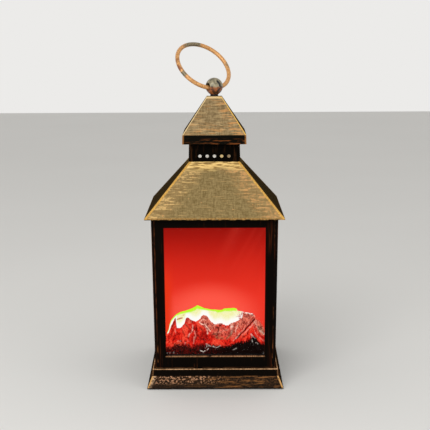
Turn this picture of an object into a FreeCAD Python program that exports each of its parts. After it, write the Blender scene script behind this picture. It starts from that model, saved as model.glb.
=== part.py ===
import FreeCAD, Part
import math
import os
import re

import Sketcher

# Flame effect lantern: a square black and bronze lantern with one glazed window.
# Behind the window lie glowing embers and a lit flame screen, with a turning
# reflector behind the screen, three cells in the base, and a ring handle that
# hangs in a ball on the cap. Millimetres, +Z up, the window faces -Y, and the
# origin is the middle of the ground under the feet.

doc = FreeCAD.newDocument("lantern")

SIZES = {
    # Fits that all pieces share
    "clearance": 0.2,
    "running_gap": 0.05,
    "seat_gap": 0.05,
    "overrun": 1.0,
    # Base: flared foot, plain band and the ledge that the body stands on
    "foot_stand": 0.8,
    "flare_spread": 4.2,
    "flare_rise": 9.9,
    "band_draft": 0.5,
    "band_rise": 6.0,
    "ledge_width": 1.9,
    "plinth_wall": 2.4,
    "plinth_deck": 2.2,
    "spigot_rise": 4.0,
    "spigot_wall": 1.6,
    "plinth_rib": 1.6,
    "plinth_rib_drop": 5.0,
    # Bottom plate and feet
    "plate_thick": 3.0,
    "foot_radius": 5.0,
    "foot_sink": 0.6,
    "foot_inset": 12.5,
    # Battery compartment
    "cell_radius": 7.1,
    "cell_body": 49.1,
    "nub_radius": 2.75,
    "nub_length": 1.4,
    "cell_gap": 1.0,
    "cell_lift": 0.3,
    "spring_room": 5.5,
    "contact_thick": 0.5,
    "contact_width": 11.0,
    "contact_tall": 12.0,
    "box_wall": 1.4,
    "box_flange": 1.5,
    "box_flange_thick": 1.2,
    "box_rib": 1.0,
    "box_rib_drop": 3.5,
    "spring_radius": 3.6,
    "spring_wire": 0.4,
    # Battery door, hinged along its back edge
    "door_thick": 1.8,
    "door_ledge": 1.6,
    "door_gap": 0.3,
    "door_pin_radius": 0.45,
    "door_pin_length": 1.2,
    "door_notch_radius": 5.0,
    "door_groove": 0.4,
    "door_groove_width": 0.9,
    "door_groove_pitch": 2.4,
    "door_groove_length": 16.0,
    # Slide switch in the bottom plate
    "switch_share": 0.58,
    "switch_long": 13.0,
    "switch_wide": 7.0,
    "switch_tall": 5.5,
    "switch_travel": 4.0,
    "knob_long": 3.6,
    "knob_wide": 3.0,
    "knob_sink": 0.5,
    "knob_flange": 0.8,
    "knob_flange_tall": 1.0,
    # Body: four walls with a slight taper and bevelled corners
    "body_bottom_half": 50.9,
    "body_draft": 1.6,
    "body_wall": 2.2,
    "corner_bevel": 2.6,
    "panel_sink": 1.0,
    # Window opening in the front wall, repeated as blind panels on the sides
    "board_clear": 1.4,
    "window_rise": 110.9,
    "lintel_rise": 7.5,
    "post_width": 9.4,
    "window_draft": 0.6,
    # Pane and the frame that holds it
    "pane_thick": 1.8,
    "pane_lap": 2.0,
    "retainer_thick": 2.0,
    "retainer_open": 1.1,
    # Back cover
    "cover_thick": 1.8,
    "cover_lap": 5.0,
    "cover_rib": 1.2,
    "cover_rib_tall": 2.0,
    # Chassis deck, boards and lamps
    "chassis_thick": 1.8,
    "chassis_drop": 0.1,
    "chassis_margin": 0.8,
    "board_thick": 1.6,
    "board_drop": 2.3,
    "board_half_share": 0.63,
    "board_front_share": 0.71,
    "board_back_share": 0.75,
    "standoff_radius": 2.6,
    "standoff_x_share": 0.5,
    "standoff_front_share": 0.64,
    "standoff_back_share": 0.67,
    "ember_slot_half_share": 0.59,
    "ember_slot_front_share": 0.58,
    "ember_slot_back_share": 0.235,
    "flame_slot_margin": 3.0,
    "flame_slot_ahead": 8.0,
    "flame_slot_behind": 4.5,
    "lamp_radius": 2.5,
    "lamp_rim": 0.4,
    "lamp_rim_tall": 1.0,
    "lamp_tall": 8.0,
    "ember_pitch_share": 0.366,
    "flame_pitch_share": 0.5,
    "ember_lamp_share": 0.41,
    "flame_lamp_ahead": 2.0,
    "chip_long": 10.0,
    "chip_wide": 7.0,
    "chip_tall": 1.6,
    "capacitor_radius": 2.5,
    "capacitor_tall": 2.0,
    # Ember bed: a hollow shell moulded as a heap of split embers
    "bed_side_inset": 8.3,
    "bed_back": 3.0,
    "bed_peak": 33.0,
    "bed_wall": 1.8,
    "bed_crust": 3.0,
    # Flame screen and the rails it stands in
    "screen_share": 0.118,
    "screen_thick": 1.2,
    "screen_side_gap": 0.5,
    "screen_over": 3.0,
    "rail_width": 1.5,
    "rail_depth": 3.0,
    # Turning reflector, its motor and bearing
    "rotor_share": 0.5108,
    "rotor_rise": 20.0,
    "shaft_radius": 1.0,
    "hub_radius": 2.4,
    "hub_gap": 4.0,
    "vane_reach": 11.0,
    "vane_thick": 0.6,
    "vane_long": 7.0,
    "vane_turn": 40.0,
    "motor_radius": 9.5,
    "motor_long": 17.0,
    "motor_nose_radius": 3.0,
    "motor_nose": 1.5,
    "motor_cap_radius": 7.0,
    "motor_cap": 1.5,
    "motor_bore_depth": 10.0,
    "bracket_thick": 1.6,
    "motor_room": 25.9,
    "bracket_half": 11.0,
    "bracket_over": 9.0,
    "bracket_foot": 7.0,
    "bearing_inset": 11.9,
    "bearing_half": 6.0,
    "bush_radius": 2.6,
    "bush_flange": 1.0,
    "bush_flange_radius": 3.6,
    "shaft_over": 3.5,
    # Roof: four sloping faces with a sharp eave
    "eave_overhang": 5.0,
    "eave_edge": 0.8,
    "roof_rise": 43.5,
    "roof_top_half": 21.2,
    "roof_wall": 2.9,
    "roof_flange": 2.0,
    "roof_rim_wall": 3.1,
    "roof_spigot": 2.0,
    "roof_plate": 2.4,
    "roof_port_inset": 1.0,
    # Neck with a row of vent holes on each side
    "neck_show": 15.0,
    "neck_over": 1.5,
    "neck_lap": 0.6,
    "neck_draft": 0.4,
    "neck_wall": 2.0,
    "neck_floor": 2.0,
    "neck_lip": 2.0,
    "neck_lip_inset": 11.2,
    "vent_rise": 4.4,
    "vent_pitch": 6.1,
    "vent_radius": 1.45,
    "liner_thick": 0.8,
    "liner_drop": 0.9,
    "crown_board_inset": 12.2,
    "crown_lamp_tall": 6.0,
    # Cap
    "skirt_rise": 7.8,
    "cap_overhang": 5.5,
    "skirt_draft": 0.2,
    "cap_rise": 30.7,
    "cap_top_half": 6.4,
    "cap_wall_across": 2.6,
    "cap_tip": 8.5,
    "cap_boss_lap": 1.9,
    # Finial ball on its stud, and the ring handle that passes through it
    "ball_radius": 7.4,
    "ball_gap": 0.9,
    "stud_radius": 2.0,
    "stud_shoulder": 3.4,
    "stud_socket": 2.0,
    "stud_length": 13.5,
    "washer_radius": 4.6,
    "washer_thick": 1.0,
    "nut_across": 7.0,
    "nut_tall": 3.2,
    "ring_radius": 24.5,
    "ring_wire": 1.8,
    "ring_drop": 1.5,
    "ring_turn": 35.3,
    "ring_lean": 41.3,
    # Self-tapping screws
    "screw_radius": 1.25,
    "screw_head": 2.4,
    "screw_head_tall": 1.3,
    "boss_radius": 3.2,
    "small_screw_radius": 0.9,
    "small_screw_head": 1.8,
    "small_screw_head_tall": 1.1,
    "small_boss_radius": 2.2,
    "base_screw_inset_x": 19.3,
    "base_screw_inset_y": 7.3,
    "base_screw_length": 9.0,
    "body_screw_inset": 8.9,
    "body_screw_share": 0.62,
    "chassis_screw_share": 0.33,
    "gusset_thick": 2.2,
    "gusset_lap": 5.0,
    "roof_screw_inset": 9.0,
    "roof_screw_length": 5.6,
    "retainer_screw_inset": 14.0,
    "retainer_screw_length": 4.4,
    "cover_screw_inset": 2.9,
    "cover_screw_length": 7.0,
    "neck_screw_inset": 6.7,
    "neck_screw_length": 6.4,
    "neck_boss_rise": 4.0,
    "cap_screw_inset": 7.7,
    "cap_screw_length": 9.0,
    "board_screw_length": 3.6,
    "bracket_screw_length": 3.0,
    "motor_screw_at": 6.2,
    "motor_screw_length": 3.6,
}

sheet = doc.addObject("Spreadsheet::Sheet", "sizes")
for row, (alias, value) in enumerate(SIZES.items(), start=1):
    sheet.set(f"A{row}", alias)
    sheet.set(f"B{row}", str(value))
    sheet.setAlias(f"B{row}", alias)
doc.recompute()

# Sizes worked out from the driving ones, so that pieces that meet move together
WORKED_OUT = {
    "cell_pitch": "2 * cell_radius + cell_gap",
    "band_top_half": "body_bottom_half + ledge_width",
    "flare_top_half": "band_top_half + band_draft",
    "base_half": "flare_top_half + flare_spread",
    "foot_at": "base_half - foot_inset",
    "base_screw_x": "band_top_half - base_screw_inset_x",
    "base_screw_y": "band_top_half - base_screw_inset_y",
    "body_top_half": "body_bottom_half + body_draft",
    "body_screw_at": "body_bottom_half - body_screw_inset",
    "window_bottom_half": "body_bottom_half - post_width",
    "window_top_half": "window_bottom_half + window_draft",
    "inside_half": "body_bottom_half - body_wall - clearance",
    "retainer_screw_x": "window_top_half + pane_lap + small_boss_radius + clearance",
    "cover_screw_x": "window_bottom_half - cover_screw_inset",
    "bed_half": "body_bottom_half - bed_side_inset",
    "chassis_front": "inside_half - pane_thick - 2 * seat_gap - retainer_thick",
    "bed_front": "chassis_front - chassis_margin",
    "board_half": "body_bottom_half * board_half_share",
    "board_front": "body_bottom_half * board_front_share",
    "board_back": "body_bottom_half * board_back_share",
    "standoff_x": "body_bottom_half * standoff_x_share",
    "standoff_front": "body_bottom_half * standoff_front_share",
    "standoff_back": "body_bottom_half * standoff_back_share",
    "ember_slot_half": "body_bottom_half * ember_slot_half_share",
    "ember_slot_front": "body_bottom_half * ember_slot_front_share",
    "ember_slot_back": "body_bottom_half * ember_slot_back_share",
    "ember_lamp_y": "body_bottom_half * ember_lamp_share",
    "ember_lamp_pitch": "ember_slot_half * ember_pitch_share",
    "screen_y": "body_bottom_half * screen_share",
    "rotor_y": "body_bottom_half * rotor_share",
    "bearing_x": "body_bottom_half - bearing_inset",
    "bracket_x": "body_bottom_half - motor_room",
    "hub_left": "bearing_x - hub_gap",
    "hub_right": "bracket_x - hub_gap",
    "shaft_left": "bearing_x + shaft_over",
    "flame_slot_half": "bracket_x - flame_slot_margin",
    "flame_slot_front": "rotor_y - flame_slot_ahead",
    "flame_slot_back": "rotor_y + flame_slot_behind",
    "flame_lamp_y": "rotor_y - flame_lamp_ahead",
    "flame_lamp_pitch": "flame_slot_half * flame_pitch_share",
    "eave_half": "body_top_half + eave_overhang",
    "roof_open_half": "body_top_half - body_wall - clearance - roof_rim_wall",
    "roof_screw_at": "body_top_half - roof_screw_inset",
    "gusset_reach": "roof_screw_at - gusset_lap",
    "neck_bottom_half": "roof_top_half + neck_lap",
    "neck_top_half": "neck_bottom_half - neck_draft",
    "neck_lip_half": "roof_top_half - neck_lip_inset",
    "neck_screw_at": "roof_top_half - neck_screw_inset",
    "crown_board_half": "roof_top_half - crown_board_inset",
    "roof_port_half": "crown_board_half - roof_port_inset",
    "cap_skirt_half": "neck_top_half + cap_overhang",
    "cap_slope_half": "cap_skirt_half - skirt_draft",
    "cap_screw_at": "roof_top_half - cap_screw_inset",
    "cap_boss_across": "cap_screw_at + cap_boss_lap + cap_wall_across - cap_top_half",
}

VENTS_PER_SIDE = 5
SPRING_HALF_TURNS = 6
CELLS = 3
EMBER_LAMPS = 5
FLAME_LAMPS = 4
VANE_STATIONS = 8
VANES_AROUND = 3
DOOR_GROOVES = 4
FOOT_SCREW_SHARE = "2 / 3"
CAPACITOR_SHARE = "3 / 2"
QUADRANTS = [(-1, -1), (1, -1), (1, 1), (-1, 1)]

# Levels that several pieces share, bottom to top
PLATE_TOP = "(foot_stand + plate_thick)"
FLARE_TOP = "(foot_stand + flare_rise)"
LEDGE = "(foot_stand + flare_rise + band_rise)"
DECK_UNDER = f"({LEDGE} - plinth_deck)"
BOX_TOP = f"({PLATE_TOP} + cell_lift + 2 * cell_radius + clearance + box_wall)"
BOARD_TOP = f"({BOX_TOP} + board_clear + board_thick)"
CHASSIS_UNDER = f"({BOARD_TOP} + board_drop)"
CHASSIS_TOP = f"({CHASSIS_UNDER} + chassis_thick)"
SILL = f"({CHASSIS_TOP} + chassis_drop)"
WINDOW_TOP = f"({SILL} + window_rise)"
EAVE = f"({WINDOW_TOP} + lintel_rise)"
ROOF_TOP = f"({EAVE} + roof_rise)"
NECK_FLOOR = f"({ROOF_TOP} + neck_floor)"
CAP_BOTTOM = f"({ROOF_TOP} + neck_show)"
NECK_TOP = f"({CAP_BOTTOM} + neck_over)"
CAP_SHOULDER = f"({CAP_BOTTOM} + skirt_rise)"
CAP_TOP = f"({CAP_SHOULDER} + cap_rise)"
BALL = f"({CAP_TOP} + ball_gap + ball_radius)"

WORD = re.compile(r"[a-z][a-z_]*")
made_parts = []


def formula(text):
    """The text with worked-out sizes spelled out and driving ones as cells of the sheet."""
    def spelled(found):
        name = found.group()
        if name in WORKED_OUT:
            return f"({formula(WORKED_OUT[name])})"
        return f"sizes.{name}" if name in SIZES else name
    return WORD.sub(spelled, str(text))


def size(name):
    return float(sheet.get(name))


def bind(thing, **formulas):
    for name, text in formulas.items():
        thing.setExpression(name, formula(text))
    return thing


def place(thing, x=0, y=0, z=0, turn=(0, 0, 0)):
    """Bind the placement: a point, and yaw, pitch and roll in degrees."""
    where = f"create(<<vector>>; {x}; {y}; {z})"
    spin = "create(<<rotation>>; {}; {}; {})".format(*turn)
    thing.setExpression("Placement", formula(f"create(<<placement>>; {where}; {spin})"))
    return thing


def part(label, thing):
    """Name a finished sub-part, which is written to a file of that name."""
    thing.Label = label
    made_parts.append(thing)
    return thing


def block(x, y, z):
    """A box between two values on each axis."""
    made = doc.addObject("Part::Box", "block")
    bind(made, Length=f"({x[1]}) - ({x[0]})", Width=f"({y[1]}) - ({y[0]})", Height=f"({z[1]}) - ({z[0]})")
    return place(made, x[0], y[0], z[0])


def frustum(low_x, low_y, low_z, high_x, high_y, high_z):
    """A solid with one rectangle at the bottom and another at the top."""
    made = doc.addObject("Part::Wedge", "frustum")
    bind(made, Xmin=low_x[0], Xmax=low_x[1], Ymin=low_z, Ymax=high_z, X2min=high_x[0], X2max=high_x[1],
         Zmin=f"-({low_y[1]})", Zmax=f"-({low_y[0]})", Z2min=f"-({high_y[1]})", Z2max=f"-({high_y[0]})")
    return place(made, turn=(0, 0, 90))


def both(half):
    """The span from a half width on the left to the same on the right."""
    return (f"-({half})", half)


def about(middle, width):
    """The span of a width, centred on a middle."""
    return (f"{middle} - ({width}) / 2", f"{middle} + ({width}) / 2")


def square_frustum(low_half, low_z, high_half, high_z):
    return frustum(both(low_half), both(low_half), low_z, both(high_half), both(high_half), high_z)


def long_frustum(low_half, low_z, high_half, high_z):
    """The same tapering square, run past both ends by the overrun."""
    slope = f"(({high_half}) - ({low_half})) / (({high_z}) - ({low_z}))"
    return square_frustum(f"({low_half}) - overrun * {slope}", f"({low_z}) - overrun",
                          f"({high_half}) + overrun * {slope}", f"({high_z}) + overrun")


def square_block(half, low_z, high_z):
    return block(both(half), both(half), (low_z, high_z))


# Turns that lay an upright cylinder along an axis; the ring's axis is the hole through the ball
AXIS_TURNS = {"x": (0, 90, 0), "y": (0, 0, -90), "z": (0, 0, 0), "-y": (0, 0, 90), "-z": (0, 180, 0),
              "ring": ("ring_turn", 90, 0)}


def cylinder(radius, length, x=0, y=0, z=0, axis="z"):
    made = doc.addObject("Part::Cylinder", "cylinder")
    bind(made, Radius=radius, Height=length)
    return place(made, x, y, z, AXIS_TURNS[axis])


def fuse(*shapes):
    made = doc.addObject("Part::MultiFuse", "joined")
    made.Shapes = list(shapes)
    made.Refine = True
    return made


def cut(base, *tools):
    made = doc.addObject("Part::Cut", "cut")
    made.Base = base
    made.Tool = tools[0] if len(tools) == 1 else fuse(*tools)
    return made


def common(*shapes):
    made = doc.addObject("Part::MultiCommon", "shared")
    made.Shapes = list(shapes)
    return made


def group(*shapes):
    """Separate solids that share one sub-part."""
    made = doc.addObject("Part::Compound", "group")
    made.Links = list(shapes)
    return made


def screw(x, y, z, axis, length, radius="screw_radius", head="screw_head", head_tall="screw_head_tall"):
    """A screw whose head's underside lies at the point, its shank running along the axis."""
    shank = cylinder(radius, length, x, y, z, axis)
    spot = {"x": x, "y": y, "z": z}
    letter = axis[-1]
    sign = "+" if axis.startswith("-") else "-"
    spot[letter] = f"({spot[letter]}) {sign} ({head_tall})"
    return fuse(cylinder(head, head_tall, spot["x"], spot["y"], spot["z"], axis), shank)


def small_screw(x, y, z, axis, length):
    return screw(x, y, z, axis, length, "small_screw_radius", "small_screw_head", "small_screw_head_tall")


# Radii of the holes that a screw's thread bites into and of those that it passes through
PILOT, PASSAGE = "screw_radius + running_gap", "screw_radius + clearance"
SMALL_PILOT, SMALL_PASSAGE = "small_screw_radius + running_gap", "small_screw_radius + clearance"


def quarter(side_x, side_y, reach_x, reach_y=None):
    """The point at these distances from the middle, in one of the four quarters."""
    return (f"{side_x} * {reach_x}", f"{side_y} * {reach_y or reach_x}")


def four(reach_x, reach_y=None):
    """Such a point in each quarter."""
    return [quarter(side_x, side_y, reach_x, reach_y) for side_x, side_y in QUADRANTS]


def new_body(label):
    return doc.addObject("PartDesign::Body", label)


def new_sketch(body, role):
    """A sketch on one of the body's own origin planes."""
    drawing = body.newObject("Sketcher::SketchObject", "profile")
    base_plane = next(item for item in body.Origin.OriginFeatures if item.Role == role)
    drawing.AttachmentSupport = [(base_plane, "")]
    drawing.MapMode = "FlatFace"
    return drawing


def closed_outline(drawing, points):
    """A closed run of straight lines, with each corner held by two dimensions."""
    count = len(points)
    corners = [FreeCAD.Vector(step + 1, step * step, 0) for step in range(count)]
    for step in range(count):
        drawing.addGeometry(Part.LineSegment(corners[step], corners[(step + 1) % count]))
    for step in range(count):
        drawing.addConstraint(Sketcher.Constraint("Coincident", step, 2, (step + 1) % count, 1))
    for step, (across, up) in enumerate(points):
        for kind, text in (("DistanceX", across), ("DistanceY", up)):
            index = drawing.addConstraint(Sketcher.Constraint(kind, -1, 1, step, 1, 1.0))
            drawing.setExpression(f"Constraints[{index}]", formula(text))


def revolved(label, outline):
    """A turned piece: the outline is radius and height, turned about the upright axis."""
    body = new_body(label)
    drawing = new_sketch(body, "XZ_Plane")
    closed_outline(drawing, outline)
    turned = body.newObject("PartDesign::Revolution", "turned")
    turned.Profile = drawing
    turned.ReferenceAxis = (drawing, ["V_Axis"])
    turned.Angle = 360
    return body


def padded(label, outline, thick):
    """A flat piece: the outline drawn on the ground plane and padded to its thickness."""
    body = new_body(label)
    drawing = new_sketch(body, "XY_Plane")
    closed_outline(drawing, outline)
    pad = body.newObject("PartDesign::Pad", "pad")
    pad.Profile = drawing
    bind(pad, Length=thick)
    return body


def rectangle(half_x, half_y):
    left, front = f"-({half_x})", f"-({half_y})"
    return [(left, front), (half_x, front), (half_x, half_y), (left, half_y)]


def plinth_inner(z):
    """Half width of the flare's inner face at a height."""
    return f"(base_half - plinth_wall - (({z}) - foot_stand) * (base_half - flare_top_half) / flare_rise)"


def body_half(z):
    """Half width of the body's outer face at a height."""
    lean = f"(body_top_half - body_bottom_half) / ({EAVE} - {LEDGE})"
    return f"(body_bottom_half + (({z}) - {LEDGE}) * {lean})"


def body_inner(z):
    return f"({body_half(z)} - body_wall)"


def window_half(z):
    """Half width of the window's outline at a height, carried on past its ends."""
    return f"(window_bottom_half + (({z}) - {SILL}) * (window_top_half - window_bottom_half) / window_rise)"


def roof_half(z):
    rise = "(roof_rise - eave_edge)"
    return f"(roof_top_half + ({ROOF_TOP} - ({z})) * (eave_half - roof_top_half) / {rise})"


def cap_half(z):
    return f"(cap_top_half + ({CAP_TOP} - ({z})) * (cap_slope_half - cap_top_half) / cap_rise)"


def spread(side, near, far):
    """The span from near to far on the right side, or mirrored to the left."""
    return (near, far) if side > 0 else (f"-({far})", f"-({near})")


def upright_panel(low_z, high_z, half, face, depth):
    """A tapering panel that leans with the front wall: its half width and the distance
    of its outer face from the middle, each at a height, and its thickness."""
    def through(z):
        return (f"-({face(z)})", f"-({face(z)}) + ({depth})")
    return frustum(both(half(low_z)), through(low_z), low_z, both(half(high_z)), through(high_z), high_z)


# Base plinth: flare, band, deck, locating rim and screw bosses
plinth_outside = fuse(square_frustum("base_half", "foot_stand", "flare_top_half", FLARE_TOP),
                      square_frustum("flare_top_half", FLARE_TOP, "band_top_half", LEDGE))
flare_hollow = square_frustum(plinth_inner("(foot_stand - overrun)"), "foot_stand - overrun",
                              plinth_inner(FLARE_TOP), FLARE_TOP)
band_hollow = square_block("band_top_half - plinth_wall", f"{FLARE_TOP} - overrun", DECK_UNDER)
plinth_shell = cut(plinth_outside, flare_hollow, band_hollow)
plinth_rim = cut(square_block("inside_half", f"{LEDGE} - overrun", f"{LEDGE} + spigot_rise"),
                 square_block("inside_half - spigot_wall", f"{LEDGE} - 2 * overrun",
                              f"{LEDGE} + spigot_rise + overrun"))
BOX_INNER_X = "((cell_body + nub_length + spring_room + 2 * contact_thick) / 2)"
BOX_INNER_Y = f"(cell_pitch * {CELLS} / 2)"
BOX_OUTER_X = f"({BOX_INNER_X} + box_wall)"
BOX_OUTER_Y = f"({BOX_INNER_Y} + box_wall)"
BOX_EDGE_X = f"({BOX_OUTER_X} + box_flange)"
SWITCH_X = f"({BOX_EDGE_X} + switch_share * (band_top_half - plinth_wall - {BOX_EDGE_X}))"
BASE_SCREWS = four("base_screw_x", "base_screw_y")
plinth_solids = [plinth_shell, plinth_rim]
for x, y in BASE_SCREWS:
    plinth_solids.append(cylinder("boss_radius", f"{DECK_UNDER} + overrun - {PLATE_TOP}", x, y, PLATE_TOP))
for side in (-1, 1):
    for offset in (-1, 1):
        plinth_solids.append(block(spread(side, f"{BOX_EDGE_X} + clearance",
                                          "band_top_half - plinth_wall + overrun"),
                                   about(f"{offset} * cell_pitch", "plinth_rib"),
                                   (f"{DECK_UNDER} - plinth_rib_drop", f"{DECK_UNDER} + overrun")))
plinth_cuts = [block(both(f"{BOX_OUTER_X} + clearance"), both(f"{BOX_OUTER_Y} + clearance"),
                     (f"{DECK_UNDER} - overrun", f"{LEDGE} + overrun"))]
for x, y in BASE_SCREWS:
    plinth_cuts.append(cylinder(PILOT, "base_screw_length - plate_thick + overrun", x, y,
                                f"{PLATE_TOP} - overrun / 2"))
for x, y in four("body_screw_at"):
    plinth_cuts.append(cylinder(PASSAGE, "plinth_deck + 2 * overrun", x, y, f"{DECK_UNDER} - overrun"))
part("base_plinth", cut(fuse(*plinth_solids), *plinth_cuts))

# Bottom plate with the door's recess, screw and foot recesses and the switch slot
DOOR_HALF_X = f"({BOX_INNER_X} + door_ledge)"
DOOR_HALF_Y = f"({BOX_INNER_Y} + door_ledge)"
DOOR_AXIS_Y = f"({DOOR_HALF_Y} - door_thick / 2)"
DOOR_AXIS_Z = "(foot_stand + door_thick / 2)"
plate_blank = square_frustum(f"{plinth_inner('foot_stand')} - clearance", "foot_stand",
                             f"{plinth_inner(PLATE_TOP)} - clearance", PLATE_TOP)
SOCKET_REACH = f"({DOOR_HALF_X} + door_pin_length + clearance)"
plate_cuts = [
    block(both(f"{DOOR_HALF_X} + door_gap"), both(f"{DOOR_HALF_Y} + door_gap"),
          ("foot_stand - overrun", "foot_stand + door_thick + seat_gap")),
    block(both(BOX_INNER_X), both(BOX_INNER_Y), ("foot_stand", f"{PLATE_TOP} + overrun")),
    cylinder("door_pin_radius + running_gap", f"2 * {SOCKET_REACH}",
             f"-{SOCKET_REACH}", DOOR_AXIS_Y, DOOR_AXIS_Z, "x"),
    block(about(SWITCH_X, "knob_wide + 2 * clearance"),
          about(0, "switch_travel + knob_long + 2 * clearance"),
          ("foot_stand - overrun", f"{PLATE_TOP} + overrun")),
]
for x, y in BASE_SCREWS:
    plate_cuts.append(cylinder(PASSAGE, "plate_thick + 2 * overrun", x, y, "foot_stand - overrun"))
    plate_cuts.append(cylinder("screw_head + clearance", "screw_head_tall + overrun", x, y,
                               "foot_stand - overrun"))
for x, y in four("foot_at"):
    plate_cuts.append(cylinder("foot_radius + running_gap", "foot_sink + overrun", x, y,
                               "foot_stand - overrun"))
part("bottom_plate", cut(plate_blank, *plate_cuts))
part("base_screws", group(*[screw(x, y, "foot_stand + screw_head_tall", "z",
                                  "base_screw_length - screw_head_tall") for x, y in BASE_SCREWS]))
part("rubber_feet", group(*[cylinder("foot_radius", "foot_stand + foot_sink", x, y)
                            for x, y in four("foot_at")]))

# Battery door: rounded hinge edge with two pins, finger notch and grip grooves
door_cuts = [cylinder("door_notch_radius", "door_thick / 2 + overrun",
                      0, f"-{DOOR_HALF_Y}", "foot_stand - overrun")]
for step in range(DOOR_GROOVES):
    groove_y = f"-({DOOR_HALF_Y}) + door_notch_radius + {step + 1} * door_groove_pitch"
    door_cuts.append(block(about(0, "door_groove_length"),
                           (groove_y, f"{groove_y} + door_groove_width"),
                           ("foot_stand - overrun", "foot_stand + door_groove")))
door_leaf = block(both(DOOR_HALF_X), (f"-{DOOR_HALF_Y}", DOOR_AXIS_Y),
                  ("foot_stand", "foot_stand + door_thick"))
door_edge = cylinder("door_thick / 2", f"2 * {DOOR_HALF_X}",
                     f"-{DOOR_HALF_X}", DOOR_AXIS_Y, DOOR_AXIS_Z, "x")
PIN_REACH = f"({DOOR_HALF_X} + door_pin_length)"
door_pins = cylinder("door_pin_radius", f"2 * {PIN_REACH}", f"-{PIN_REACH}", DOOR_AXIS_Y, DOOR_AXIS_Z, "x")
part("battery_door", cut(fuse(door_leaf, door_edge, door_pins), *door_cuts))

# Battery box, its cells, contacts and springs
box_outside = fuse(block(both(BOX_OUTER_X), both(BOX_OUTER_Y), (PLATE_TOP, BOX_TOP)),
                   block(both(BOX_EDGE_X), both(f"{BOX_OUTER_Y} + box_flange"),
                         (f"{DECK_UNDER} - box_flange_thick", DECK_UNDER)))
box_hollow = block(both(BOX_INNER_X), both(BOX_INNER_Y),
                   (f"{PLATE_TOP} - overrun", f"{BOX_TOP} - box_wall"))
box_ribs = [block(both(f"{BOX_INNER_X} + overrun"), about(f"{line} * cell_pitch", "box_rib"),
                  (f"{BOX_TOP} - box_wall - box_rib_drop", f"{BOX_TOP} - box_wall / 2"))
            for line in (-0.5, 0.5)]
part("battery_box", fuse(cut(box_outside, box_hollow), *box_ribs))
CELL_Z = f"({PLATE_TOP} + cell_lift + cell_radius)"
cells = []
contacts = []
for index in range(CELLS):
    cell_y = f"{index - (CELLS - 1) / 2} * cell_pitch"
    way = 1 if index % 2 == 0 else -1
    cell = revolved(f"cell{index + 1}", [(0, 0), ("cell_radius", 0), ("cell_radius", "cell_body"),
                                         ("nub_radius", "cell_body"),
                                         ("nub_radius", "cell_body + nub_length"),
                                         (0, "cell_body + nub_length")])
    foot = f"{-way} * ({BOX_INNER_X} - contact_thick - spring_room)"
    place(cell, foot, cell_y, CELL_Z, (0, 90 * way, 0))
    cells.append(cell)
    for side in (-1, 1):
        contacts.append(block(spread(side, f"{BOX_INNER_X} - contact_thick", BOX_INNER_X),
                              about(cell_y, "contact_width"), about(CELL_Z, "contact_tall")))
part("battery_cells", group(*cells))
part("contact_plates", group(*contacts))


def arc(start, bend, end):
    """The round arc from start to end whose end tangents meet at bend."""
    middle = (start + end) * 0.5
    to_bend, half_chord = bend - middle, (end - middle).Length
    radius = half_chord * (bend - start).Length / to_bend.Length
    sag = radius - (radius ** 2 - half_chord ** 2) ** 0.5
    return Part.Arc(start, middle + to_bend * (sag / to_bend.Length), end).toShape()


def biarc(start, start_way, end, end_way):
    """Two arcs that join smoothly from one point and direction to another."""
    across, both_ways = end - start, start_way + end_way
    spare = 2 * (1 - start_way.dot(end_way))
    ahead = across.dot(both_ways)
    reach = ((ahead ** 2 + spare * across.dot(across)) ** 0.5 - ahead) / spare
    first_bend, second_bend = start + start_way * reach, end - end_way * reach
    meeting = (first_bend + second_bend) * 0.5
    return [arc(start, first_bend, meeting), arc(meeting, second_bend, end)]


def coil_spring(index):
    """A compressed spring between a contact plate and the flat end of a cell."""
    facing = 1 if index % 2 == 0 else -1
    wire, radius = size("spring_wire"), size("spring_radius")
    inner_x = (size("cell_body") + size("nub_length") + size("spring_room") + 2 * size("contact_thick")) / 2
    height = size("spring_room") - 2 * (wire + size("running_gap"))
    climb = FreeCAD.Vector(0, 0, height / SPRING_HALF_TURNS)
    side = FreeCAD.Vector(radius, 0, 0)
    way = FreeCAD.Vector(0, math.pi * radius, height / SPRING_HALF_TURNS).normalize()
    arcs = []
    spot = side
    for step in range(SPRING_HALF_TURNS):
        next_side = side * -1
        next_spot = next_side + climb * (step + 1)
        next_way = FreeCAD.Vector(way.x, -way.y, way.z)
        arcs += biarc(spot, way, next_spot, next_way)
        side, spot, way = next_side, next_spot, next_way
    section = Part.Wire(Part.makeCircle(wire, FreeCAD.Vector(radius, 0, 0), FreeCAD.Vector(0, 1, 0)))
    made = doc.addObject("Part::Feature", "coil")
    made.Shape = Part.Wire(arcs).makePipeShell([section], True, False)
    rest = -facing * (inner_x - size("contact_thick") - wire - size("running_gap"))
    pitch = 2 * size("cell_radius") + size("cell_gap")
    cell_z = size("foot_stand") + size("plate_thick") + size("cell_lift") + size("cell_radius")
    made.Placement = FreeCAD.Placement(FreeCAD.Vector(rest, (index - (CELLS - 1) / 2) * pitch, cell_z),
                                       FreeCAD.Rotation(0, 90 * facing, 0))
    return made


part("battery_springs", group(*[coil_spring(index) for index in range(CELLS)]))

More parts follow.
